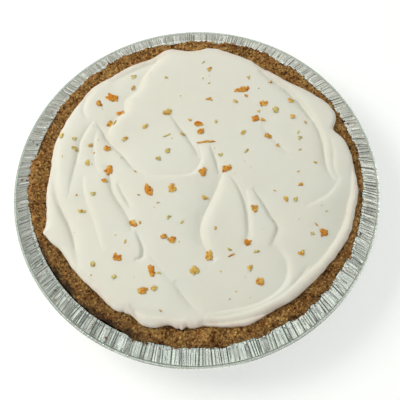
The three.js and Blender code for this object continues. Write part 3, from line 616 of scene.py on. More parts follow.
def grated_peel(settings):
    """Citrus peel cut by a grater: waxy and a little see-through, orange to yellow green from fleck to
    fleck, bruised in spots, and dimpled by its oil glands."""
    material, tree, place = blank_material("grated_citrus_peel")
    tone = add(tree, "ShaderNodeAttribute", output="Fac", attribute_name="tone")
    mottle = add(tree, "ShaderNodeTexNoise", {"Vector": place, "Scale": 1 / (1.6 * MM), "Detail": 2.0}, "Fac")
    mottle = add(tree, "ShaderNodeMapRange", [mottle, 0.0, 1.0, -0.22, 0.22])
    tone = add(tree, "ShaderNodeMath", [tone, mottle], operation="ADD", use_clamp=True)
    stops = ((0.05, settings.orange), (0.5, settings.yellow), (0.95, settings.green))
    shade = colour_steps(tree, tone, stops)
    spots = add(tree, "ShaderNodeTexNoise", {"Vector": place, "Scale": 1 / (1.8 * MM), "Detail": 1.0}, "Fac")
    bruise = add(tree, "ShaderNodeMapRange", [spots, 0.45, 0.7, 0.0, 0.8])
    tints = {"Factor": bruise, "A": shade, "B": linear("#c99a70")}
    shade = add(tree, "ShaderNodeMix", tints, data_type="RGBA", blend_type="MULTIPLY")
    glands = add(tree, "ShaderNodeTexVoronoi", {"Vector": place, "Scale": 1 / (0.7 * MM)}, "Distance")
    bump = add(tree, "ShaderNodeBump", {"Strength": 0.5, "Distance": 0.15 * MM, "Height": glands})
    surface = add(tree, "ShaderNodeBsdfPrincipled", {
        "Base Color": shade, "Roughness": 0.45, "IOR": 1.46, "Subsurface Weight": 0.1,
        "Subsurface Radius": (1.0, 0.55, 0.2), "Subsurface Scale": 0.6 * MM, "Normal": bump,
    })
    return finish_material(material, surface)


def white_card():
    """Smooth white card under the pie: matt, and lit from behind so that it stays white where the pie
    shades it."""
    clouds_per_metre = 90.0
    material, tree, place = blank_material("white_card")
    clouds = {"Vector": place, "Scale": clouds_per_metre, "Detail": 3.0}
    fibres = add(tree, "ShaderNodeTexNoise", clouds, "Fac")
    haze = add(tree, "ShaderNodeMapRange", [fibres, 0.0, 1.0, 0.85, 0.95])
    surface = add(tree, "ShaderNodeBsdfPrincipled", {
        "Base Color": linear("#cccccb"), "Roughness": haze, "Specular IOR Level": 0.1,
        "Emission Color": (1.0, 1.0, 1.0, 1.0), "Emission Strength": 0.45,
    })
    return finish_material(material, surface)


# ---- Foil pan ------------------------------------------------------------------


def band_place(pan):
    """Radius and height where the rim's pleats end, just inside the roll."""
    return pan.radius - 2 * pan.roll_radius - 0.1 * MM, pan.roll_height + 1.0 * MM


def pan_profile(pan):
    """Rows of the pan's section, from under the middle of the base round the rim to the inside:
    (radius, height, share of a pleat in and out, share of a pleat up and down, place from wall to roll)."""
    foil, base, shoulder, top = pan.foil, pan.base_radius, pan.shoulder_radius, pan.shoulder_height
    band, _ = band_place(pan)
    rim_start = shoulder + 0.7 * MM
    wall_shares = (0.03, 0.12, 0.3, 0.5, 0.7, 0.9)
    rim_shares = (0.0, 0.04, 0.09, 0.14, 0.2, 0.3, 0.65, 0.93, 1.0)

    def wall(share, inside):
        """The pleats of the wall fade in above the base."""
        radius = base + (shoulder - base) * share - (foil if inside else 0)
        return (radius, top * share, -0.8 * min(1.0, share * 3.5), 0.0, 0.0)

    def rim(share, under):
        """The pleats of the rim fade out at the roll."""
        radius = rim_start + (band - rim_start) * share
        height = rim_height(radius, pan) - (foil if under else 0)
        return (radius, height, 0.0, min(1.0, (1 - share) * 9 + 0.3), 0.15 + 0.85 * share)

    def roll(degrees):
        """The rolled edge, round a circle seen from the side."""
        turn = math.radians(degrees)
        radius = pan.radius - pan.roll_radius + pan.roll_radius * math.cos(turn)
        return (radius, pan.roll_height + pan.roll_radius * math.sin(turn), -0.12, 0.2, 1)

    # Plain ring pressed up into the base
    middle, half, rise = 64 * MM, 4 * MM, 0.8 * MM
    steps = ((-1, 0), (-0.7, 0.5), (-0.4, 1), (0.4, 1), (0.7, 0.5), (1, 0))
    pressed = [(middle + half * out, rise * up) for out, up in steps]
    return [
        (0.0, 0.0, 0, 0, 0),
        *((radius, height, 0, 0, 0) for radius, height in pressed),
        (base - 1.0 * MM, 0.0, 0, 0, 0),
        (base - 0.2 * MM, 0.2 * MM, 0, 0, 0),
        *(wall(share, False) for share in wall_shares),
        (shoulder - 0.1 * MM, top - 1.0 * MM, -0.6, 0.3, 0.05),
        *(rim(share, True) for share in rim_shares),
        *(roll(degrees) for degrees in range(-150, 121, 30)),
        # Narrow groove inside the roll
        (band + 0.14 * MM, pan.roll_height - 0.1 * MM, 0, 0.1, 1),
        *(rim(share, False) for share in reversed(rim_shares)),
        (shoulder, top, -0.4, 0.7, 0.05),
        (shoulder - 0.7 * MM, top - 0.7 * MM, -0.7, 0.4, 0),
        *(wall(share, True) for share in (*reversed(wall_shares[1:]), 0.04)),
        (base - 1.2 * MM, foil, 0, 0, 0),
        *((radius, height + foil, 0, 0, 0) for radius, height in reversed(pressed)),
        (0.0, foil, 0, 0, 0),
    ]


def rim_height(radius, pan):
    """Height of the middle of the rim's pleats at a radius."""
    band, band_height = band_place(pan)
    share = (radius - pan.shoulder_radius) / (band - pan.shoulder_radius)
    bow = pan.crown * 4 * share * (1 - share)
    # The rim starts in a low rounded bead where the wall turns out
    bead_high, bead_out, bead_wide = 0.3 * MM, 1.5 * MM, 0.6 * MM
    bead = bead_high * math.exp(-(((radius - pan.shoulder_radius - bead_out) / bead_wide) ** 2))
    return pan.shoulder_height + (band_height - pan.shoulder_height) * share + bow + bead


def pleated_pan_tree():
    """Sweeps the section round the pan. A pleat is a land and a narrow groove, three columns in all. Pleats
    crowd in some runs and spread in others, and stray sideways by another amount at the wall than at the
    roll, so that some lean and meet."""
    tree, given = new_tree("pleated_pan", [
        ("Pleats", "Int"), ("Depth", "Float"), ("Lean", "Float"), ("Crowding", "Float"), ("Seed", "Int"),
        ("Material", "Material"),
    ])
    per_pleat = 3.0
    size = add(tree, "GeometryNodeAttributeDomainSize", {"Geometry": given["Geometry"]}, "Point Count")
    columns = add(tree, "ShaderNodeMath", [given["Pleats"], per_pleat], operation="MULTIPLY")
    grid_columns = add(tree, "ShaderNodeMath", [columns, 1.0], operation="ADD")
    sides = {"Size X": 1.0, "Size Y": 1.0, "Vertices X": grid_columns, "Vertices Y": size}
    grid = add(tree, "GeometryNodeMeshGrid", sides, "Mesh")
    index = add(tree, "GeometryNodeInputIndex")
    column = add(tree, "ShaderNodeMath", [index, size], operation="DIVIDE")
    column = add(tree, "ShaderNodeMath", [column], operation="FLOOR")
    column = add(tree, "ShaderNodeMath", [column, columns], operation="MODULO")
    row = add(tree, "ShaderNodeMath", [index, size], operation="MODULO")
    pleat = add(tree, "ShaderNodeMath", [column, per_pleat], operation="DIVIDE")
    pleat = add(tree, "ShaderNodeMath", [pleat], operation="FLOOR")
    # Which of its pleat's columns this is: 0 and 1 bound the land, and 2 is the foot of the groove
    part = add(tree, "ShaderNodeMath", [column, per_pleat], operation="MODULO")
    groove = add(tree, "ShaderNodeMath", [part, 1.0], operation="SUBTRACT")
    groove = add(tree, "ShaderNodeMath", [groove, 0.0], operation="MAXIMUM")

    def along_section(name, kind):
        """What the section's row stores."""
        stored = add(tree, "GeometryNodeInputNamedAttribute", {"Name": name}, "Attribute", data_type=kind)
        sample = {"Geometry": given["Geometry"], "Value": stored, "Index": row}
        return add(tree, "GeometryNodeSampleIndex", sample, data_type=kind)

    def drawn(low, high, seed_step, each):
        """A number drawn for each column or pleat."""
        seed = add(tree, "ShaderNodeMath", [given["Seed"], float(seed_step)], operation="ADD")
        limits = {"Min": low, "Max": high, "ID": each, "Seed": seed}
        return add(tree, "FunctionNodeRandomValue", limits, data_type="FLOAT")

    section = along_section("place", "FLOAT_VECTOR")
    section = add(tree, "ShaderNodeSeparateXYZ", {"Vector": section}).node.outputs
    swing = along_section("swing", "FLOAT")
    lift = along_section("lift", "FLOAT")
    to_roll = along_section("to_roll", "FLOAT")

    # Place of the column in pleats: a land from 0 to 0.5, then the groove with its foot at 0.75
    ends = {"Factor": to_roll, "A": drawn(-1.0, 1.0, 1, pleat), "B": drawn(-1.0, 1.0, 2, pleat)}
    stray = add(tree, "ShaderNodeMix", ends, data_type="FLOAT")
    stray = add(tree, "ShaderNodeMath", [stray, given["Lean"]], operation="MULTIPLY")
    place = add(tree, "ShaderNodeMath", [pleat, stray], operation="ADD")
    place = add(tree, "ShaderNodeMath", [part, 0.5, place], operation="MULTIPLY_ADD")
    place = add(tree, "ShaderNodeMath", [groove, -0.25, place], operation="MULTIPLY_ADD")
    turn = add(tree, "ShaderNodeMath", [place, given["Pleats"]], operation="DIVIDE")
    angle = add(tree, "ShaderNodeMath", [turn, 2 * math.pi], operation="MULTIPLY")

    def crowd(seed_step):
        """Smooth noise round the pan, from about -0.5 to 0.5, in runs of about a tenth of its radius."""
        even = add(tree, "ShaderNodeMath", [column, columns], operation="DIVIDE")
        even = add(tree, "ShaderNodeMath", [even, 2 * math.pi], operation="MULTIPLY")
        east = add(tree, "ShaderNodeMath", [even], operation="COSINE")
        north = add(tree, "ShaderNodeMath", [even], operation="SINE")
        seed = add(tree, "ShaderNodeMath", [given["Seed"], float(seed_step)], operation="ADD")
        spot = add(tree, "ShaderNodeCombineXYZ", {"X": east, "Y": north, "Z": seed})
        wave = add(tree, "ShaderNodeTexNoise", {"Vector": spot, "Scale": 11.0, "Detail": 1.5}, "Fac")
        return add(tree, "ShaderNodeMath", [wave, 0.5], operation="SUBTRACT")

    # Towards the roll the pleats crowd at other places too, which bends them
    bend_share = 0.6
    bent = add(tree, "ShaderNodeMath", [crowd(17), to_roll], operation="MULTIPLY")
    shift = add(tree, "ShaderNodeMath", [bent, bend_share, crowd(11)], operation="MULTIPLY_ADD")
    angle = add(tree, "ShaderNodeMath", [shift, given["Crowding"], angle], operation="MULTIPLY_ADD")

    # Height of the column: lands tilt a little, and some grooves are so shallow that lands join. A groove
    # deepens by a fifth of a pleat from the wall to the roll.
    land = drawn(-0.35, 0.35, 3, column)
    foot = add(tree, "ShaderNodeMath", [to_roll, -0.2, drawn(-1.5, 0.1, 5, pleat)], operation="MULTIPLY_ADD")
    foot = add(tree, "ShaderNodeMath", [foot, 0.0], operation="MINIMUM")
    share = add(tree, "ShaderNodeMix", {"Factor": groove, "A": land, "B": foot}, data_type="FLOAT")
    depth = add(tree, "ShaderNodeMath", [share, given["Depth"]], operation="MULTIPLY")
    radius = add(tree, "ShaderNodeMath", [depth, swing, section["X"]], operation="MULTIPLY_ADD")
    height = add(tree, "ShaderNodeMath", [depth, lift, section["Z"]], operation="MULTIPLY_ADD")
    cosine = add(tree, "ShaderNodeMath", [angle], operation="COSINE")
    sine = add(tree, "ShaderNodeMath", [angle], operation="SINE")
    x = add(tree, "ShaderNodeMath", [radius, cosine], operation="MULTIPLY")
    y = add(tree, "ShaderNodeMath", [radius, sine], operation="MULTIPLY")
    spot = add(tree, "ShaderNodeCombineXYZ", {"X": x, "Y": y, "Z": height})
    placed = add(tree, "GeometryNodeSetPosition", {"Geometry": grid, "Position": spot})

    # How dark the painted shade in the folds is: most at the front right and least opposite. The foot is
    # below zero, and so are the weights, which brings the shade above it.
    darkest_shade_at, swell, common = math.radians(310), -0.35, -0.6
    across = add(tree, "ShaderNodeMath", [angle, -darkest_shade_at], operation="ADD")
    across = add(tree, "ShaderNodeMath", [across], operation="COSINE")
    shade_weight = add(tree, "ShaderNodeMath", [across, swell, common], operation="MULTIPLY_ADD")
    fold = add(tree, "ShaderNodeMath", [foot, groove], operation="MULTIPLY")
    fold = add(tree, "ShaderNodeMath", [fold, lift], operation="MULTIPLY")
    fold = add(tree, "ShaderNodeMath", [fold, shade_weight], operation="MULTIPLY", use_clamp=True)
    stored = {"Geometry": placed, "Name": "fold", "Value": fold}
    marked = add(tree, "GeometryNodeStoreNamedAttribute", stored, data_type="FLOAT", domain="POINT")
    closed = add(tree, "GeometryNodeMergeByDistance", {"Geometry": marked, "Distance": 0.01 * MM})
    end_tree(tree, closed, given["Material"])
    return tree


def make_pan(pan):
    """Pressed foil pan with a pleated wall and rim and a rolled edge."""
    rows = np.array(pan_profile(pan))
    section = bpy.data.meshes.new("section")
    places = [(radius, 0, height) for radius, height in rows[:, :2]]
    section.from_pydata(places, [(i, i + 1) for i in range(len(rows) - 1)], [])
    mark(section, "place", places, "FLOAT_VECTOR")
    for column, name in ((2, "swing"), (3, "lift"), (4, "to_roll")):
        mark(section, name, rows[:, column])
    foil = pressed_aluminium(pan)
    values = {
        "Pleats": pan.pleats, "Depth": pan.pleat_depth, "Lean": pan.lean, "Crowding": pan.crowding,
        "Seed": pan.seed, "Material": foil,
    }
    mesh = grow(section, pleated_pan_tree(), values)
    made = object_from_mesh("pan_foil", mesh, foil, math.radians(18))
    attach(made, "root")
    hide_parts("foil_pan")


# ---- Crumb crust ---------------------------------------------------------------


def crust_rim_height(radius, crust):
    """Height of the smooth rim of the crust at a radius: 0.9 mm lower at 10 mm from its crest."""
    fall = 0.9 * MM * ((radius - crust.crest_radius) / (10 * MM)) ** 2
    return crust.crest_height - fall


def crust_rings(pan, crust):
    """Rings of the crust from under its floor, up its outside, over the rim and down into the bowl."""
    steps = 1260
    low = CRUST_LOW.z
    clearance = 1.37 * MM
    side_high, side_deep = 2.3 * MM, 2.1 * MM
    wall_run = (pan.shoulder_radius - pan.base_radius) / pan.shoulder_height
    wall_top = pan.shoulder_height - 0.4 * MM
    rim_top = crust_rim_height(crust.crest_radius, crust) - 0.15 * MM
    broad = uneven_wave(23, 5, 36)
    fine = uneven_wave(24, 40, 130, 9)

    def outer_wall(height):
        """Radius of the crust's outer side, just inside the pan's wall."""
        return pan.base_radius + wall_run * height - clearance

    def edge(angles):
        """Radius of the rim's lumpy outer edge."""
        lumpy = 0.6 * MM * broad(angles) + 0.25 * MM * fine(angles)
        return crust.edge_radius + bulges(CRUST_LOBES, angles) + lumpy

    def top(angles, share):
        """The top of the rim, from its side in to where it drops."""
        radius = (edge(angles) - side_deep) * (1 - share) + crust.inner_edge * share
        return radius, crust_rim_height(radius, crust)

    rings = [np.array([[0, 0, low]]), ring(90, lambda a: (outer_wall(low), low))]
    rings += [ring(steps, lambda a: (outer_wall(height), height)) for height in (20 * MM, wall_top)]
    # Outer side of the rim, rounding over to the top
    for turn in np.radians(np.arange(0, 91, 11.25)):
        drop = side_high * (1 - np.sin(turn))
        inset = side_deep * (1 - np.cos(turn))
        rings.append(ring(steps, lambda a: (edge(a) - inset, rim_top - drop)))
    rings += [ring(steps, lambda a: top(a, share)) for share in np.linspace(0.04, 1, 28)]
    rings.append(ring(90, lambda a: (crust.floor_radius, low + crust.floor)))
    rings.append(np.array([[0, 0, low + crust.floor]]))
    return rings


def crumb_shape():
    """A lumpy crumb one unit wide, of 20 faces, that the scattering turns and stretches."""
    mesh = bpy.data.meshes.new("crumb_shape")
    shape = bmesh.new()
    bmesh.ops.create_icosphere(shape, subdivisions=1, radius=0.5)
    draw = np.random.default_rng(8)
    for vertex in shape.verts:
        vertex.co *= draw.uniform(0.55, 1.25)
    shape.to_mesh(mesh)
    shape.free()
    return mesh


def scatter_tree():
    """Scatters crumbs over the faces that the attribute "crumby" picks, each turned, stretched and shaded
    by its own draw, and half sunk into the surface. Small ones are the most common."""
    tree, given = new_tree("scattered_crumbs", [
        ("Crumb", "Object"), ("Per Area", "Float"), ("Smallest", "Float"), ("Largest", "Float"),
        ("Seed", "Int"), ("Material", "Material"),
    ])
    crumby = add(tree, "GeometryNodeInputNamedAttribute", {"Name": "crumby"}, "Attribute", data_type="FLOAT")
    density = add(tree, "ShaderNodeMath", [crumby, given["Per Area"]], operation="MULTIPLY")
    spread = {"Mesh": given["Geometry"], "Density": density, "Seed": given["Seed"]}
    points = add(tree, "GeometryNodeDistributePointsOnFaces", spread, "Points")
    shape = add(tree, "GeometryNodeObjectInfo", {"Object": given["Crumb"]}, "Geometry")

    def drawn(low, high, seed, kind="FLOAT"):
        """A number or a vector drawn for each crumb."""
        return add(tree, "FunctionNodeRandomValue", {"Min": low, "Max": high, "Seed": seed}, data_type=kind)

    full_turn, favour_small = 2 * math.pi, 2.2
    turn = drawn((0, 0, 0), (full_turn, full_turn, full_turn), 3, "FLOAT_VECTOR")
    size = add(tree, "ShaderNodeMath", [drawn(0.0, 1.0, 5), favour_small], operation="POWER")
    size = add(tree, "ShaderNodeMapRange", [size, 0.0, 1.0, given["Smallest"], given["Largest"]])
    stretch = drawn((0.7, 0.7, 0.6), (1.35, 1.1, 1.0), 7, "FLOAT_VECTOR")
    scale = add(tree, "ShaderNodeVectorMath", {"Vector": stretch, "Scale": size}, operation="SCALE")
    copies = {"Points": points, "Instance": shape, "Rotation": turn, "Scale": scale}
    laid = add(tree, "GeometryNodeInstanceOnPoints", copies)
    stored = {"Geometry": laid, "Name": "shade", "Value": drawn(0.0, 1.0, 9)}
    shaded = add(tree, "GeometryNodeStoreNamedAttribute", stored, data_type="FLOAT", domain="INSTANCE")
    end_tree(tree, shaded, given["Material"])
    return tree


def lumps(points, size, seed):
    """Rounded lumps of a width in metres packed side by side, from 0 in the seams to 1 on top."""
    offset = Vector((5.1, 1.7, -3.3)) * seed
    middle_to_seam = 0.75
    nearest = [noise.voronoi(Vector(p) / size + offset)[0][0] for p in points]
    return np.clip(1 - (np.array(nearest) / middle_to_seam) ** 2, 0, 1)


def scorch_and_shade_share(places, crust):
    """How far the crust is darkened, from 0 to 1: its outer side in uneven runs, most of all at the lower
    left, over a ragged band 2 to 3 mm wide, partly burnt and partly painted shade, and the whole rim a
    little in the directions listed as darker."""
    angles = np.arctan2(places[:, 1], places[:, 0])
    radius = np.hypot(places[:, 0], places[:, 1])
    outer = crust.edge_radius + bulges(CRUST_LOBES, angles)
    runs = bulges(SCORCH_AND_SHADE, angles) / MM + 0.18 * uneven_wave(31, 20, 60)(angles)
    runs = np.clip(runs, 0, 1)
    ragged = 1.1 * MM * field(places, 3.5 * MM, 9, 2)
    reach = (1.9 + 0.9 * runs) * MM
    fade = 0.6 * MM
    side = np.clip((radius + ragged - outer + reach) / fade, 0, 1)
    return np.maximum(runs * side, np.clip(bulges(DARKER_RIM, angles) / MM, 0, 1))


def roughen(corners, crust):
    """Raises lumps, crags and crumbs on the rim: outwards at its side and upwards on its top."""
    radius = np.hypot(corners[:, 0], corners[:, 1])
    rim = (corners[:, 2] > 31 * MM) & (radius > crust.inner_edge - 1 * MM)
    shown = corners[rim]
    # Shares of the crags' height, from broad swells and lumps to single grains, about a mean of zero
    crag = 0.8 * field(shown, 7 * MM, 1) + 0.9 * lumps(shown, 3.2 * MM, 2) + 0.75 * lumps(shown, 1.5 * MM, 3)
    crag += 0.5 * field(shown, 1.0 * MM, 4) - 0.75
    outward = shown / np.linalg.norm(shown * (1, 1, 0), axis=1)[:, None] * (1, 1, 0)
    side_deep = 2.5 * MM
    side = np.clip((radius[rim] - crust.edge_radius + side_deep) / side_deep, 0, 1)[:, None]
    away = outward * side + np.array([0, 0, 1]) * (1 - 0.6 * side)
    corners[rim] = shown + away * (crag * crust.crags)[:, None]


def make_crust(pan, crust, topping):
    """Crumb crust with a craggy rim, and the crumbs that stand out of it."""
    corners, faces = loft(crust_rings(pan, crust))
    roughen(corners, crust)
    body = mesh_object("crust_body", corners, faces, baked_crumbs(crust, "pressed_baked_crumbs", False))
    places = corner_places(body.data)
    # Burn and painted shade along the outer side, as a share of the near-black colour
    mark(body.data, "scorch_and_shade", scorch_and_shade_share(places, crust))
    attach(body, "root")
    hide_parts("crumb_crust")
    scatter_crumbs(crumb_ground(places, faces, pan, crust, topping), crust)


def crumb_ground(places, faces, pan, crust, topping):
    """What loose crumbs lie on, with how thick they lie and how dark they are, partly burnt and partly
    painted shade: thick on the crust's rim, thin on the foil beside it, most of all at the left, and single
    ones on their own spots."""
    radius = np.hypot(places[:, 0], places[:, 1])
    on_rim = (places[:, 2] > 31.5 * MM) & (radius > crust.inner_edge + 0.5 * MM)
    strip, strip_faces = foil_strip(pan, len(places))
    out = np.hypot(strip[:, 0], strip[:, 1]) - pan.shoulder_radius
    runs = 0.4 + bulges(STRAY_RUNS, np.arctan2(strip[:, 1], strip[:, 0])) / MM
    # What runs and fading add up to over the strip, so that the strays come to their number
    covered_cm2 = 10
    stray = crust.strays / covered_cm2 / crust.crumbs_per_cm2 * runs * np.exp(-out / (2.5 * MM))
    spots, spot_faces = crumb_spots(pan, crust, topping, len(places) + len(strip))
    ground = bpy.data.meshes.new("ground")
    corners = [tuple(corner) for corner in (*places, *strip, *spots)]
    ground.from_pydata(corners, [], faces + strip_faces + spot_faces)
    mark(ground, "crumby", [*on_rim, *stray, *np.ones(len(spots))])
    # Crumbs on the foil and single crumbs take a fixed share of the near-black colour
    strip_scorch = np.full(len(strip), 0.4)
    spot_scorch = np.full(len(spots), 0.1)
    mark(ground, "scorch_and_shade", [*scorch_and_shade_share(places, crust), *strip_scorch, *spot_scorch])
    return ground


def crumb_spots(pan, crust, topping, first):
    """Small level squares for the crumbs that lie by themselves, as corners and faces counted from first."""
    lift = 0.2 * MM
    corners, faces = [], []
    for x, y, side in CRUMBS_APART:
        place = np.array([[x, y]]) * MM
        radius = math.hypot(x, y) * MM
        if radius < topping_edge(np.arctan2(place[:, 1], place[:, 0]), topping)[0]:
            height = topping_height(place, topping)[0]
        elif radius < crust.edge_radius:
            height = crust_rim_height(radius, crust)
        else:
            height = rim_height(radius, pan)
        start = first + len(corners)
        half = 0.5 * side
        for across, along in ((-half, -half), (half, -half), (half, half), (-half, half)):
            corners.append(((x + across) * MM, (y + along) * MM, height + lift))
        faces.append((start, start + 1, start + 2, start + 3))
    return np.array(corners), faces


def foil_strip(pan, first):
    """Strip of the foil rim next to the crust, as corners and as faces counted from first."""
    steps = 180
    radii = [pan.shoulder_radius + out * MM for out in (0, 3, 7)]
    corners = np.concatenate([ring(steps, lambda a: (radius, rim_height(radius, pan))) for radius in radii])
    faces = []
    for row in range(len(radii) - 1):
        for i in range(steps):
            after = (i + 1) % steps
            low = first + row * steps
            faces.append((low + i, low + steps + i, low + steps + after, low + after))
    return corners, faces


def scatter_crumbs(ground, crust):
    """Loose crumbs on a surface, as one plain mesh."""
    cm2_in_m2 = 1e4
    shape = bpy.data.objects.new("crumb_shape", crumb_shape())
    crumbs = baked_crumbs(crust, "loose_baked_crumbs", True)
    values = {
        "Crumb": shape, "Per Area": crust.crumbs_per_cm2 * cm2_in_m2, "Smallest": 0.5 * crust.crumb,
        "Largest": 1.8 * crust.crumb, "Seed": 5, "Material": crumbs,
    }
    mesh = grow(ground, scatter_tree(), values)
    bpy.data.objects.remove(shape)
    made = object_from_mesh("crust_crumbs", mesh, crumbs, math.radians(30))
    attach(made, "root")


# ---- Whipped topping -----------------------------------------------------------


def smooth_path(points, per_piece=6):
    """Points along a Catmull-Rom curve through the given ones."""
    ends = np.array([points[0], *points, points[-1]], float)
    shares = np.linspace(0, 1, per_piece, endpoint=False)[:, None]
    pieces = []
    for a, b, c, d in zip(ends, ends[1:], ends[2:], ends[3:]):
        linear_part = (c - a) * shares
        square_part = (2 * a - 5 * b + 4 * c - d) * shares**2
        cube_part = (3 * b - a - 3 * c + d) * shares**3
        pieces.append(0.5 * (2 * b + linear_part + square_part + cube_part))
    return np.concatenate([*pieces, ends[-1:]])


def stroke_height(places, stroke):
    """What one stroke adds at places in mm. The nearer a piece of its foot is, the more that piece counts, so
    that the two sides blend smoothly inside a bend. Both ends taper off."""
    crest, dip, lip, high_fade, low_fade, points = stroke
    # Keeps a piece's weight finite on its own foot, in square mm
    softening = 0.02
    taper = 0.7
    path = smooth_path(points)
    steps = np.diff(path, axis=0)
    weights, leans, tapers = np.zeros((3, len(places)))
    distance = np.full(len(places), np.inf)
    for i, (start, step) in enumerate(zip(path, steps)):
        long = math.hypot(*step)
        offset = places - start
        share = np.clip(offset @ step / long**2, 0, 1)
        gap = offset - share[:, None] * step
        away = np.hypot(gap[:, 0], gap[:, 1])
        left = (step[0] * offset[:, 1] - step[1] * offset[:, 0]) / long
        weight = long / (away**2 + softening) ** 3
        weights += weight
        leans += weight * np.clip(left / np.maximum(away, 1e-6), -1, 1)
        tapers += weight * np.sin(np.pi * (i + share) / len(steps))
        distance = np.minimum(distance, away)
    fall = dip * np.exp(-distance / lip)
    high = crest * (1 - np.exp(-distance / lip)) * np.exp(-distance / high_fade) - fall
    low = -dip * np.exp(-distance / low_fade)
    share_high = 0.5 + 0.5 * leans / weights
    return (tapers / weights) ** taper * (share_high * high + (1 - share_high) * low)


def topping_edge(angles, topping):
    """Radius of the topping's outline: its bulges, and seeded waves and ripples."""
    waves = 0.3 * MM * uneven_wave(53, 9, 27)(angles)
    ripples = 0.16 * MM * uneven_wave(54, 40, 110, 9)(angles)
    return topping.radius + bulges(CREAM_LOBES, angles) + waves + ripples


def edge_width(angles, topping):
    """Width of the topping's rounded edge."""
    return topping.edge_width + bulges(EDGE_WIDTHS, angles)


def topping_height(places, topping):
    """Height of the top, in metres, at places in metres: a dome with swells, strokes, gentle noise and a
    rounded edge."""
    in_mm = places / MM
    height = topping.top - topping.dome * (places**2).sum(1) / topping.radius**2
    for x, y, radius, swell in SWELLS:
        height += swell * MM * np.exp(-((in_mm - (x, y)) ** 2).sum(1) / radius**2)
    for stroke in STROKES:
        # Past 4.5 times its wider fade a stroke is a hundredth of its height
        *_, high_fade, low_fade, points = stroke
        points = np.array(points)
        reach = 4.5 * max(high_fade, low_fade)
        near = ((in_mm > points.min(0) - reach) & (in_mm < points.max(0) + reach)).all(1)
        height[near] += topping.depth * MM * stroke_height(in_mm[near], stroke)
    broad, fine = 0.16 * MM, 0.06 * MM
    flat = np.column_stack([places, np.zeros(len(places))])
    height += broad * field(flat, 24 * MM, 4) + fine * field(flat, 7 * MM, 6)
    angles = np.arctan2(places[:, 1], places[:, 0])
    width = edge_width(angles, topping)
    inside = topping_edge(angles, topping) - np.hypot(places[:, 0], places[:, 1])
    rounding = np.clip(1 - inside / width, 0, 1)
    drop = topping.edge_drop + 0.25 * width
    return height - drop * (1 - np.sqrt(1 - rounding**2))


def topping_rings(topping, crust):
    """Rings of the plug of topping: up from the crust's floor, out under the lip and in over the top."""
    gap = 0.35 * MM
    count = topping.rings
    edge_steps = 6 * count

    # The top: rings out to where the edge starts to round, then rings over the edge, all measured at once
    angles, radii = [], []
    for k in range(1, count + 1):
        turn = np.linspace(0, 2 * np.pi, 6 * k, endpoint=False)
        angles.append(turn)
        radii.append((topping_edge(turn, topping) - edge_width(turn, topping)) * k / count)
    edge, width = topping_edge(turn, topping), edge_width(turn, topping)
    for bend in np.radians(range(10, 91, 10)):
        angles.append(turn)
        radii.append(edge - width * (1 - math.sin(bend)))
    ends = np.cumsum([len(turn) for turn in angles])[:-1]
    angles, radii = np.concatenate(angles), np.concatenate(radii)
    flat = np.stack([radii * np.cos(angles), radii * np.sin(angles)], 1)
    heights = topping_height(flat, topping)
    # Over the crust the topping is never thinner than this
    thinnest = 0.5 * MM
    lowest = crust_rim_height(radii, crust) + gap + thinnest
    near_edge = radii > crust.inner_edge - 3 * MM
    heights[near_edge] = np.maximum(heights, lowest)[near_edge]
    tops = np.split(np.column_stack([flat, heights]), ends)

    widest = tops[-1][:, 2]
    inner_height = crust_rim_height(crust.inner_edge, crust) + gap
    rings = [
        np.array([[0, 0, CREAM_LOW.z]]),
        ring(60, lambda a: (crust.floor_radius - 2 * gap, CREAM_LOW.z)),
        ring(edge_steps, lambda a: (crust.inner_edge - 2 * gap, inner_height)),
    ]
    # Underside of the lip, curling out from the crust to the widest line
    curl = 1.3 * MM
    foot = crust_rim_height(edge - curl, crust) + gap
    for bend in np.radians((0, 30, 55, 75)):
        share = 1 - math.cos(bend)
        radius = edge - curl * (1 - math.sin(bend))
        rings.append(ring(edge_steps, lambda a: (radius, foot * (1 - share) + widest * share)))
    rings += reversed(tops)
    rings.append(np.array([[0, 0, topping_height(np.zeros((1, 2)), topping)[0]]]))
    return rings


def make_topping(topping, crust):
    """The topping, in one closed mesh."""
    corners, faces = loft(topping_rings(topping, crust))
    made = mesh_object("topping_cream", corners, faces, whipped_cream(topping))
    angles = np.arctan2(corners[:, 1], corners[:, 0])
    inside = topping_edge(angles, topping) - np.hypot(corners[:, 0], corners[:, 1])
    stain_reach = 5.5 * MM
    near = np.clip(1 - inside / stain_reach, 0, 1)
    mark(made.data, "stain", near * np.clip(bulges(STAINS, angles) / MM, 0, 1))
    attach(made, "root")
    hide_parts("whipped_topping")


# ---- Zest ----------------------------------------------------------------------


def shaving_shape():
    """A curled strip one unit long and wide, ragged at its sides and narrower at its ends."""
    draw = np.random.default_rng(12)
    loops = []
    for x in np.linspace(-0.5, 0.5, 6):
        half = 0.5 * (1 - 0.7 * (2 * x) ** 4) * draw.uniform(0.75, 1.0)
        curl = 0.9 * (0.25 - x * x)
        shift = draw.uniform(-0.1, 0.1)
        underside = [(-half, curl), (0, curl - 0.3), (half, curl)]
        upper_side = [(0.6 * half, curl + 0.8), (-0.5 * half, curl + 0.9)]
        loops.append([(x, y + shift, z) for y, z in underside + upper_side])
    count = len(loops[0])
    last = (len(loops) - 1) * count
    faces = [tuple(reversed(range(count))), tuple(range(last, last + count))]
    for low in range(0, last, count):
        for i in range(count):
            after = (i + 1) % count
            faces.append((low + i, low + after, low + count + after, low + count + i))
    mesh = bpy.data.meshes.new("shaving_shape")
    mesh.from_pydata([corner for loop in loops for corner in loop], [], faces)
    return mesh


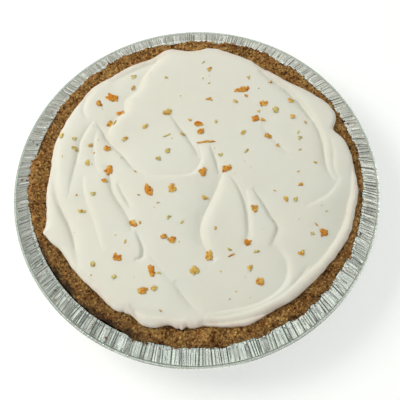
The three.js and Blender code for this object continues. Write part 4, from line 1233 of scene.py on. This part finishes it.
def fleck_list(zest):
    """Every shaving in mm: heaps of them for the flecks, then scattered specks. Each is (x, y, lift, length,
    width, turn, tone). A long thin fleck is two strips that overlap."""
    draw = np.random.default_rng(71)
    shaving = zest.shaving / MM
    area_each = 1.9
    laid = []
    # Small flecks are slimmer and a little paler than the large ones
    small = [(*place, 0.95 * long, 0.8 * wide, turn, tone + 0.14)
             for *place, long, wide, turn, tone in SMALL_FLECKS]
    for x, y, long, wide, turn, tone in [*LARGE_FLECKS, *small]:
        across = math.radians(turn)
        strip = long > 3 * wide
        count = 2 if strip else max(1, round(long * wide / area_each))
        for n in range(count):
            # Places spread over an ellipse, with the heap highest in its middle
            away, way = math.sqrt(draw.uniform(0, 1)), draw.uniform(0, 2 * math.pi)
            u = 0.5 * max(long - 0.6 * shaving, 0.5) * away * math.cos(way)
            v = 0.5 * max(wide - 0.5, 0.3) * away * math.sin(way)
            if strip:
                u, v = (n - 0.5) * 0.3 * long, 0.0
            length_now = 0.75 * long if strip else min(long, shaving * draw.uniform(0.6, 1.35))
            width_now = wide * 0.8 if strip else min(wide, length_now * draw.uniform(0.5, 0.9))
            laid.append((
                x + u * math.cos(across) - v * math.sin(across),
                y + u * math.sin(across) + v * math.cos(across),
                0.1 + 0.5 * (1 - away) * (count > 2),
                length_now,
                width_now,
                turn + draw.uniform(-8, 8) if strip else turn + draw.uniform(-65, 65),
                tone + draw.uniform(-0.12, 0.3) * (0.4 + away),
            ))
    for _ in range(zest.specks):
        away, way = math.sqrt(draw.uniform(0, 1)) * zest.reach / MM, draw.uniform(0, 2 * math.pi)
        long = zest.speck / MM * draw.uniform(0.6, 1.6)
        laid.append((
            away * math.cos(way), away * math.sin(way), 0.0, long, long * draw.uniform(0.4, 0.8),
            draw.uniform(0, 180), draw.uniform(0.3, 1.1),
        ))
    return laid


def fleck_tree():
    """Lays a shaving on every point, turned, sized and toned by the point's own attributes."""
    tree, given = new_tree("laid_shavings", [("Shaving", "Object"), ("Material", "Material")])
    points = add(tree, "GeometryNodeMeshToPoints", {"Mesh": given["Geometry"]})
    shape = add(tree, "GeometryNodeObjectInfo", {"Object": given["Shaving"]}, "Geometry")
    turn, size = (
        add(tree, "GeometryNodeInputNamedAttribute", {"Name": name}, "Attribute", data_type="FLOAT_VECTOR")
        for name in ("turn", "size")
    )
    copies = {"Points": points, "Instance": shape, "Rotation": turn, "Scale": size}
    end_tree(tree, add(tree, "GeometryNodeInstanceOnPoints", copies), given["Material"])
    return tree


def make_zest(zest, topping):
    """Flecks of zest pressed into the topping, each turned with the slope that it lies on."""
    flecks = np.array(fleck_list(zest))
    places = flecks[:, :2] * MM
    step = 0.8 * MM
    heights = topping_height(places, topping) + flecks[:, 2] * MM
    slope_x = topping_height(places + (step, 0), topping) - topping_height(places - (step, 0), topping)
    slope_y = topping_height(places + (0, step), topping) - topping_height(places - (0, step), topping)
    turns = []
    for degrees, dx, dy in zip(flecks[:, 5], slope_x, slope_y):
        up = Vector((-dx / (2 * step), -dy / (2 * step), 1)).normalized()
        spin = Matrix.Rotation(math.radians(degrees), 3, "Z")
        turns.append((Vector((0, 0, 1)).rotation_difference(up).to_matrix() @ spin).to_euler())
    cloud = bpy.data.meshes.new("fleck_points")
    cloud.from_pydata([tuple(c) for c in np.column_stack([places, heights])], [], [])
    mark(cloud, "turn", turns, "FLOAT_VECTOR")
    thickness = np.full(len(flecks), zest.thickness)
    mark(cloud, "size", np.column_stack([flecks[:, 3:5] * MM, thickness]), "FLOAT_VECTOR")
    mark(cloud, "tone", flecks[:, 6])
    peel = grated_peel(zest)
    shape = bpy.data.objects.new("shaving_shape", shaving_shape())
    mesh = grow(cloud, fleck_tree(), {"Shaving": shape, "Material": peel})
    bpy.data.objects.remove(shape)
    made = object_from_mesh("zest_flecks", mesh, peel, math.radians(60))
    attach(made, "root")


# ---- Stage ---------------------------------------------------------------------


def make_camera(stage):
    """Camera in front of the pie and above it, with the picture turned a little."""
    data = bpy.data.cameras.new("camera")
    data.lens = stage.lens
    data.sensor_width = 36.0
    data.shift_x = stage.shift_x
    data.shift_y = stage.shift_y
    data.clip_start = 0.01
    camera = bpy.data.objects.new("camera", data)
    bpy.context.scene.collection.objects.link(camera)
    back = Vector((0, -math.cos(stage.elevation), math.sin(stage.elevation)))
    up = Vector((0, math.sin(stage.elevation), math.cos(stage.elevation)))
    right = Vector((1, 0, 0))
    turned_right = right * math.cos(stage.roll) - up * math.sin(stage.roll)
    turned_up = right * math.sin(stage.roll) + up * math.cos(stage.roll)
    place = Vector((0, 0, stage.aim_height)) + back * stage.distance
    matrix = Matrix((turned_right, turned_up, back)).transposed().to_4x4()
    camera.matrix_world = Matrix.Translation(place) @ matrix
    bpy.context.scene.camera = camera


def make_key_light(stage):
    """A large square soft light at the left that points at the pie. The foil doesn't mirror it."""
    data = bpy.data.lights.new("key", "AREA")
    data.shape = "SQUARE"
    data.size = stage.key_size
    data.energy = stage.key
    data.color = linear("#fffdf6")[:3]
    made = bpy.data.objects.new("key", data)
    bpy.context.scene.collection.objects.link(made)
    aim = Vector((0, 0, 35 * MM))
    way = direction(stage.key_azimuth, stage.key_elevation)
    place = aim + way * stage.key_distance
    made.matrix_world = Matrix.Translation(place) @ way.to_track_quat("Z", "Y").to_matrix().to_4x4()
    made.visible_glossy = False


def direction(azimuth, elevation):
    """Unit vector to a direction in radians."""
    return Vector((
        math.cos(elevation) * math.cos(azimuth),
        math.cos(elevation) * math.sin(azimuth),
        math.sin(elevation),
    ))


def soft_room(stage):
    """Light all round: an even room, darker overhead, with soft patches that are brighter or darker, and
    upright bands."""
    world = bpy.data.worlds.new("soft_room")
    world.use_nodes = True
    tree = world.node_tree
    tree.nodes.clear()
    way = add(tree, "ShaderNodeTexCoord", output="Generated")
    upward = add(tree, "ShaderNodeSeparateXYZ", {"Vector": way}, "Z")
    walls = ((0.0, "#bab8b1"), (0.15, "#bab8b1"), (0.45, "#b4b5b0"), (0.8, "#a9b1ae"))
    room = colour_steps(tree, upward, [(place, linear(tint)) for place, tint in walls])
    strength = stage.sky

    def facing(azimuth, elevation):
        """Cosine of the angle to a direction in degrees."""
        spot = direction(math.radians(azimuth), math.radians(elevation))
        return add(tree, "ShaderNodeVectorMath", [way, spot], "Value", operation="DOT_PRODUCT")

    for azimuth, elevation, inner, outer, factor in ROOM_PATCHES:
        fade = [facing(azimuth, elevation), *(math.cos(math.radians(a)) for a in (outer, inner)), 1.0, factor]
        share = add(tree, "ShaderNodeMapRange", fade, interpolation_type="SMOOTHSTEP")
        strength = add(tree, "ShaderNodeMath", [share, strength], operation="MULTIPLY")
    # Windows, cards and gaps between them, in upright bands round the room, strongest in front of the pie.
    # Directions are squashed in height before the noise is read, so that its spots stretch into bands.
    dark, bright = 0.12, 2.3
    level = add(tree, "ShaderNodeVectorMath", [way, (1.0, 1.0, 0.15)], operation="MULTIPLY")
    level = add(tree, "ShaderNodeVectorMath", [level], operation="NORMALIZE")
    spots = add(tree, "ShaderNodeTexNoise", {"Vector": level, "Scale": 4.2, "Detail": 1.0}, "Fac")
    edges = [spots, 0.43, 0.57, dark, bright]
    bands = add(tree, "ShaderNodeMapRange", edges, interpolation_type="SMOOTHSTEP")
    busy = add(tree, "ShaderNodeMapRange", [facing(290, 20), -0.4, 0.4, 0.3, 1.0])
    mixed = add(tree, "ShaderNodeMix", {"Factor": busy, "A": 1.0, "B": bands}, data_type="FLOAT")
    strength = add(tree, "ShaderNodeMath", [mixed, strength], operation="MULTIPLY")
    light = add(tree, "ShaderNodeBackground", {"Color": room, "Strength": strength})
    add(tree, "ShaderNodeOutputWorld", {"Surface": light})
    bpy.context.scene.world = world


def make_stage(stage):
    """White floor just under the pie, one large key light from the left and even light all round."""
    half = 1.6
    below = -0.05 * MM
    corners = [(-half, -half, below), (half, -half, below), (half, half, below), (-half, half, below)]
    mesh_object("floor", corners, [(0, 1, 2, 3)], white_card())
    make_key_light(stage)
    soft_room(stage)
    bpy.context.scene.view_settings.view_transform = "Standard"
    make_camera(stage)


# ---- Operators -----------------------------------------------------------------


class PIE_OT_foil_pan(bpy.types.Operator):
    """Make the pressed foil pan"""

    bl_idname = "pie.foil_pan"
    bl_label = "Foil pan"

    def execute(self, context):
        make_pan(context.scene.pie_pan)
        return {"FINISHED"}


class PIE_OT_crumb_crust(bpy.types.Operator):
    """Make the crumb crust and its loose crumbs"""

    bl_idname = "pie.crumb_crust"
    bl_label = "Crumb crust"

    def execute(self, context):
        make_crust(context.scene.pie_pan, context.scene.pie_crust, context.scene.pie_topping)
        return {"FINISHED"}


class PIE_OT_whipped_topping(bpy.types.Operator):
    """Make the whipped topping"""

    bl_idname = "pie.whipped_topping"
    bl_label = "Whipped topping"

    def execute(self, context):
        make_topping(context.scene.pie_topping, context.scene.pie_crust)
        return {"FINISHED"}


class PIE_OT_zest(bpy.types.Operator):
    """Lay the flecks of zest"""

    bl_idname = "pie.zest"
    bl_label = "Zest"

    def execute(self, context):
        make_zest(context.scene.pie_zest, context.scene.pie_topping)
        return {"FINISHED"}


class PIE_OT_stage(bpy.types.Operator):
    """Set out the floor, the lights and the camera"""

    bl_idname = "pie.stage"
    bl_label = "Stage"

    def execute(self, context):
        make_stage(context.scene.pie_stage)
        return {"FINISHED"}


class PIE_PT_panel(bpy.types.Panel):
    """Lists what makes the pie, with its sizes and colours"""

    bl_label = "Passion fruit pie"
    bl_idname = "PIE_PT_panel"
    bl_space_type = "VIEW_3D"
    bl_region_type = "UI"
    bl_category = "Pie"

    def draw(self, context):
        for operator, group in PIECES:
            box = self.layout.box()
            box.operator(operator.bl_idname)
            settings = getattr(context.scene, group)
            for name in settings.__annotations__:
                box.prop(settings, name)


PIECES = (
    (PIE_OT_foil_pan, "pie_pan"),
    (PIE_OT_crumb_crust, "pie_crust"),
    (PIE_OT_whipped_topping, "pie_topping"),
    (PIE_OT_zest, "pie_zest"),
    (PIE_OT_stage, "pie_stage"),
)
SETTINGS = {
    "pie_pan": PanSettings,
    "pie_crust": CrustSettings,
    "pie_topping": ToppingSettings,
    "pie_zest": ZestSettings,
    "pie_stage": StageSettings,
}


def register():
    """Adds the settings, the operators and the panel."""
    for group in SETTINGS.values():
        bpy.utils.register_class(group)
    for operator, _ in PIECES:
        bpy.utils.register_class(operator)
    bpy.utils.register_class(PIE_PT_panel)
    for name, group in SETTINGS.items():
        setattr(bpy.types.Scene, name, PointerProperty(type=group))


def unregister():
    """Takes them away again."""
    for name in SETTINGS:
        delattr(bpy.types.Scene, name)
    bpy.utils.unregister_class(PIE_PT_panel)
    for operator, _ in PIECES:
        bpy.utils.unregister_class(operator)
    for group in SETTINGS.values():
        bpy.utils.unregister_class(group)


def main():
    """Makes every piece in order."""
    register()
    for operator, _ in PIECES:
        group, name = operator.bl_idname.split(".")
        getattr(getattr(bpy.ops, group), name)()


if __name__ == "__main__":
    main()
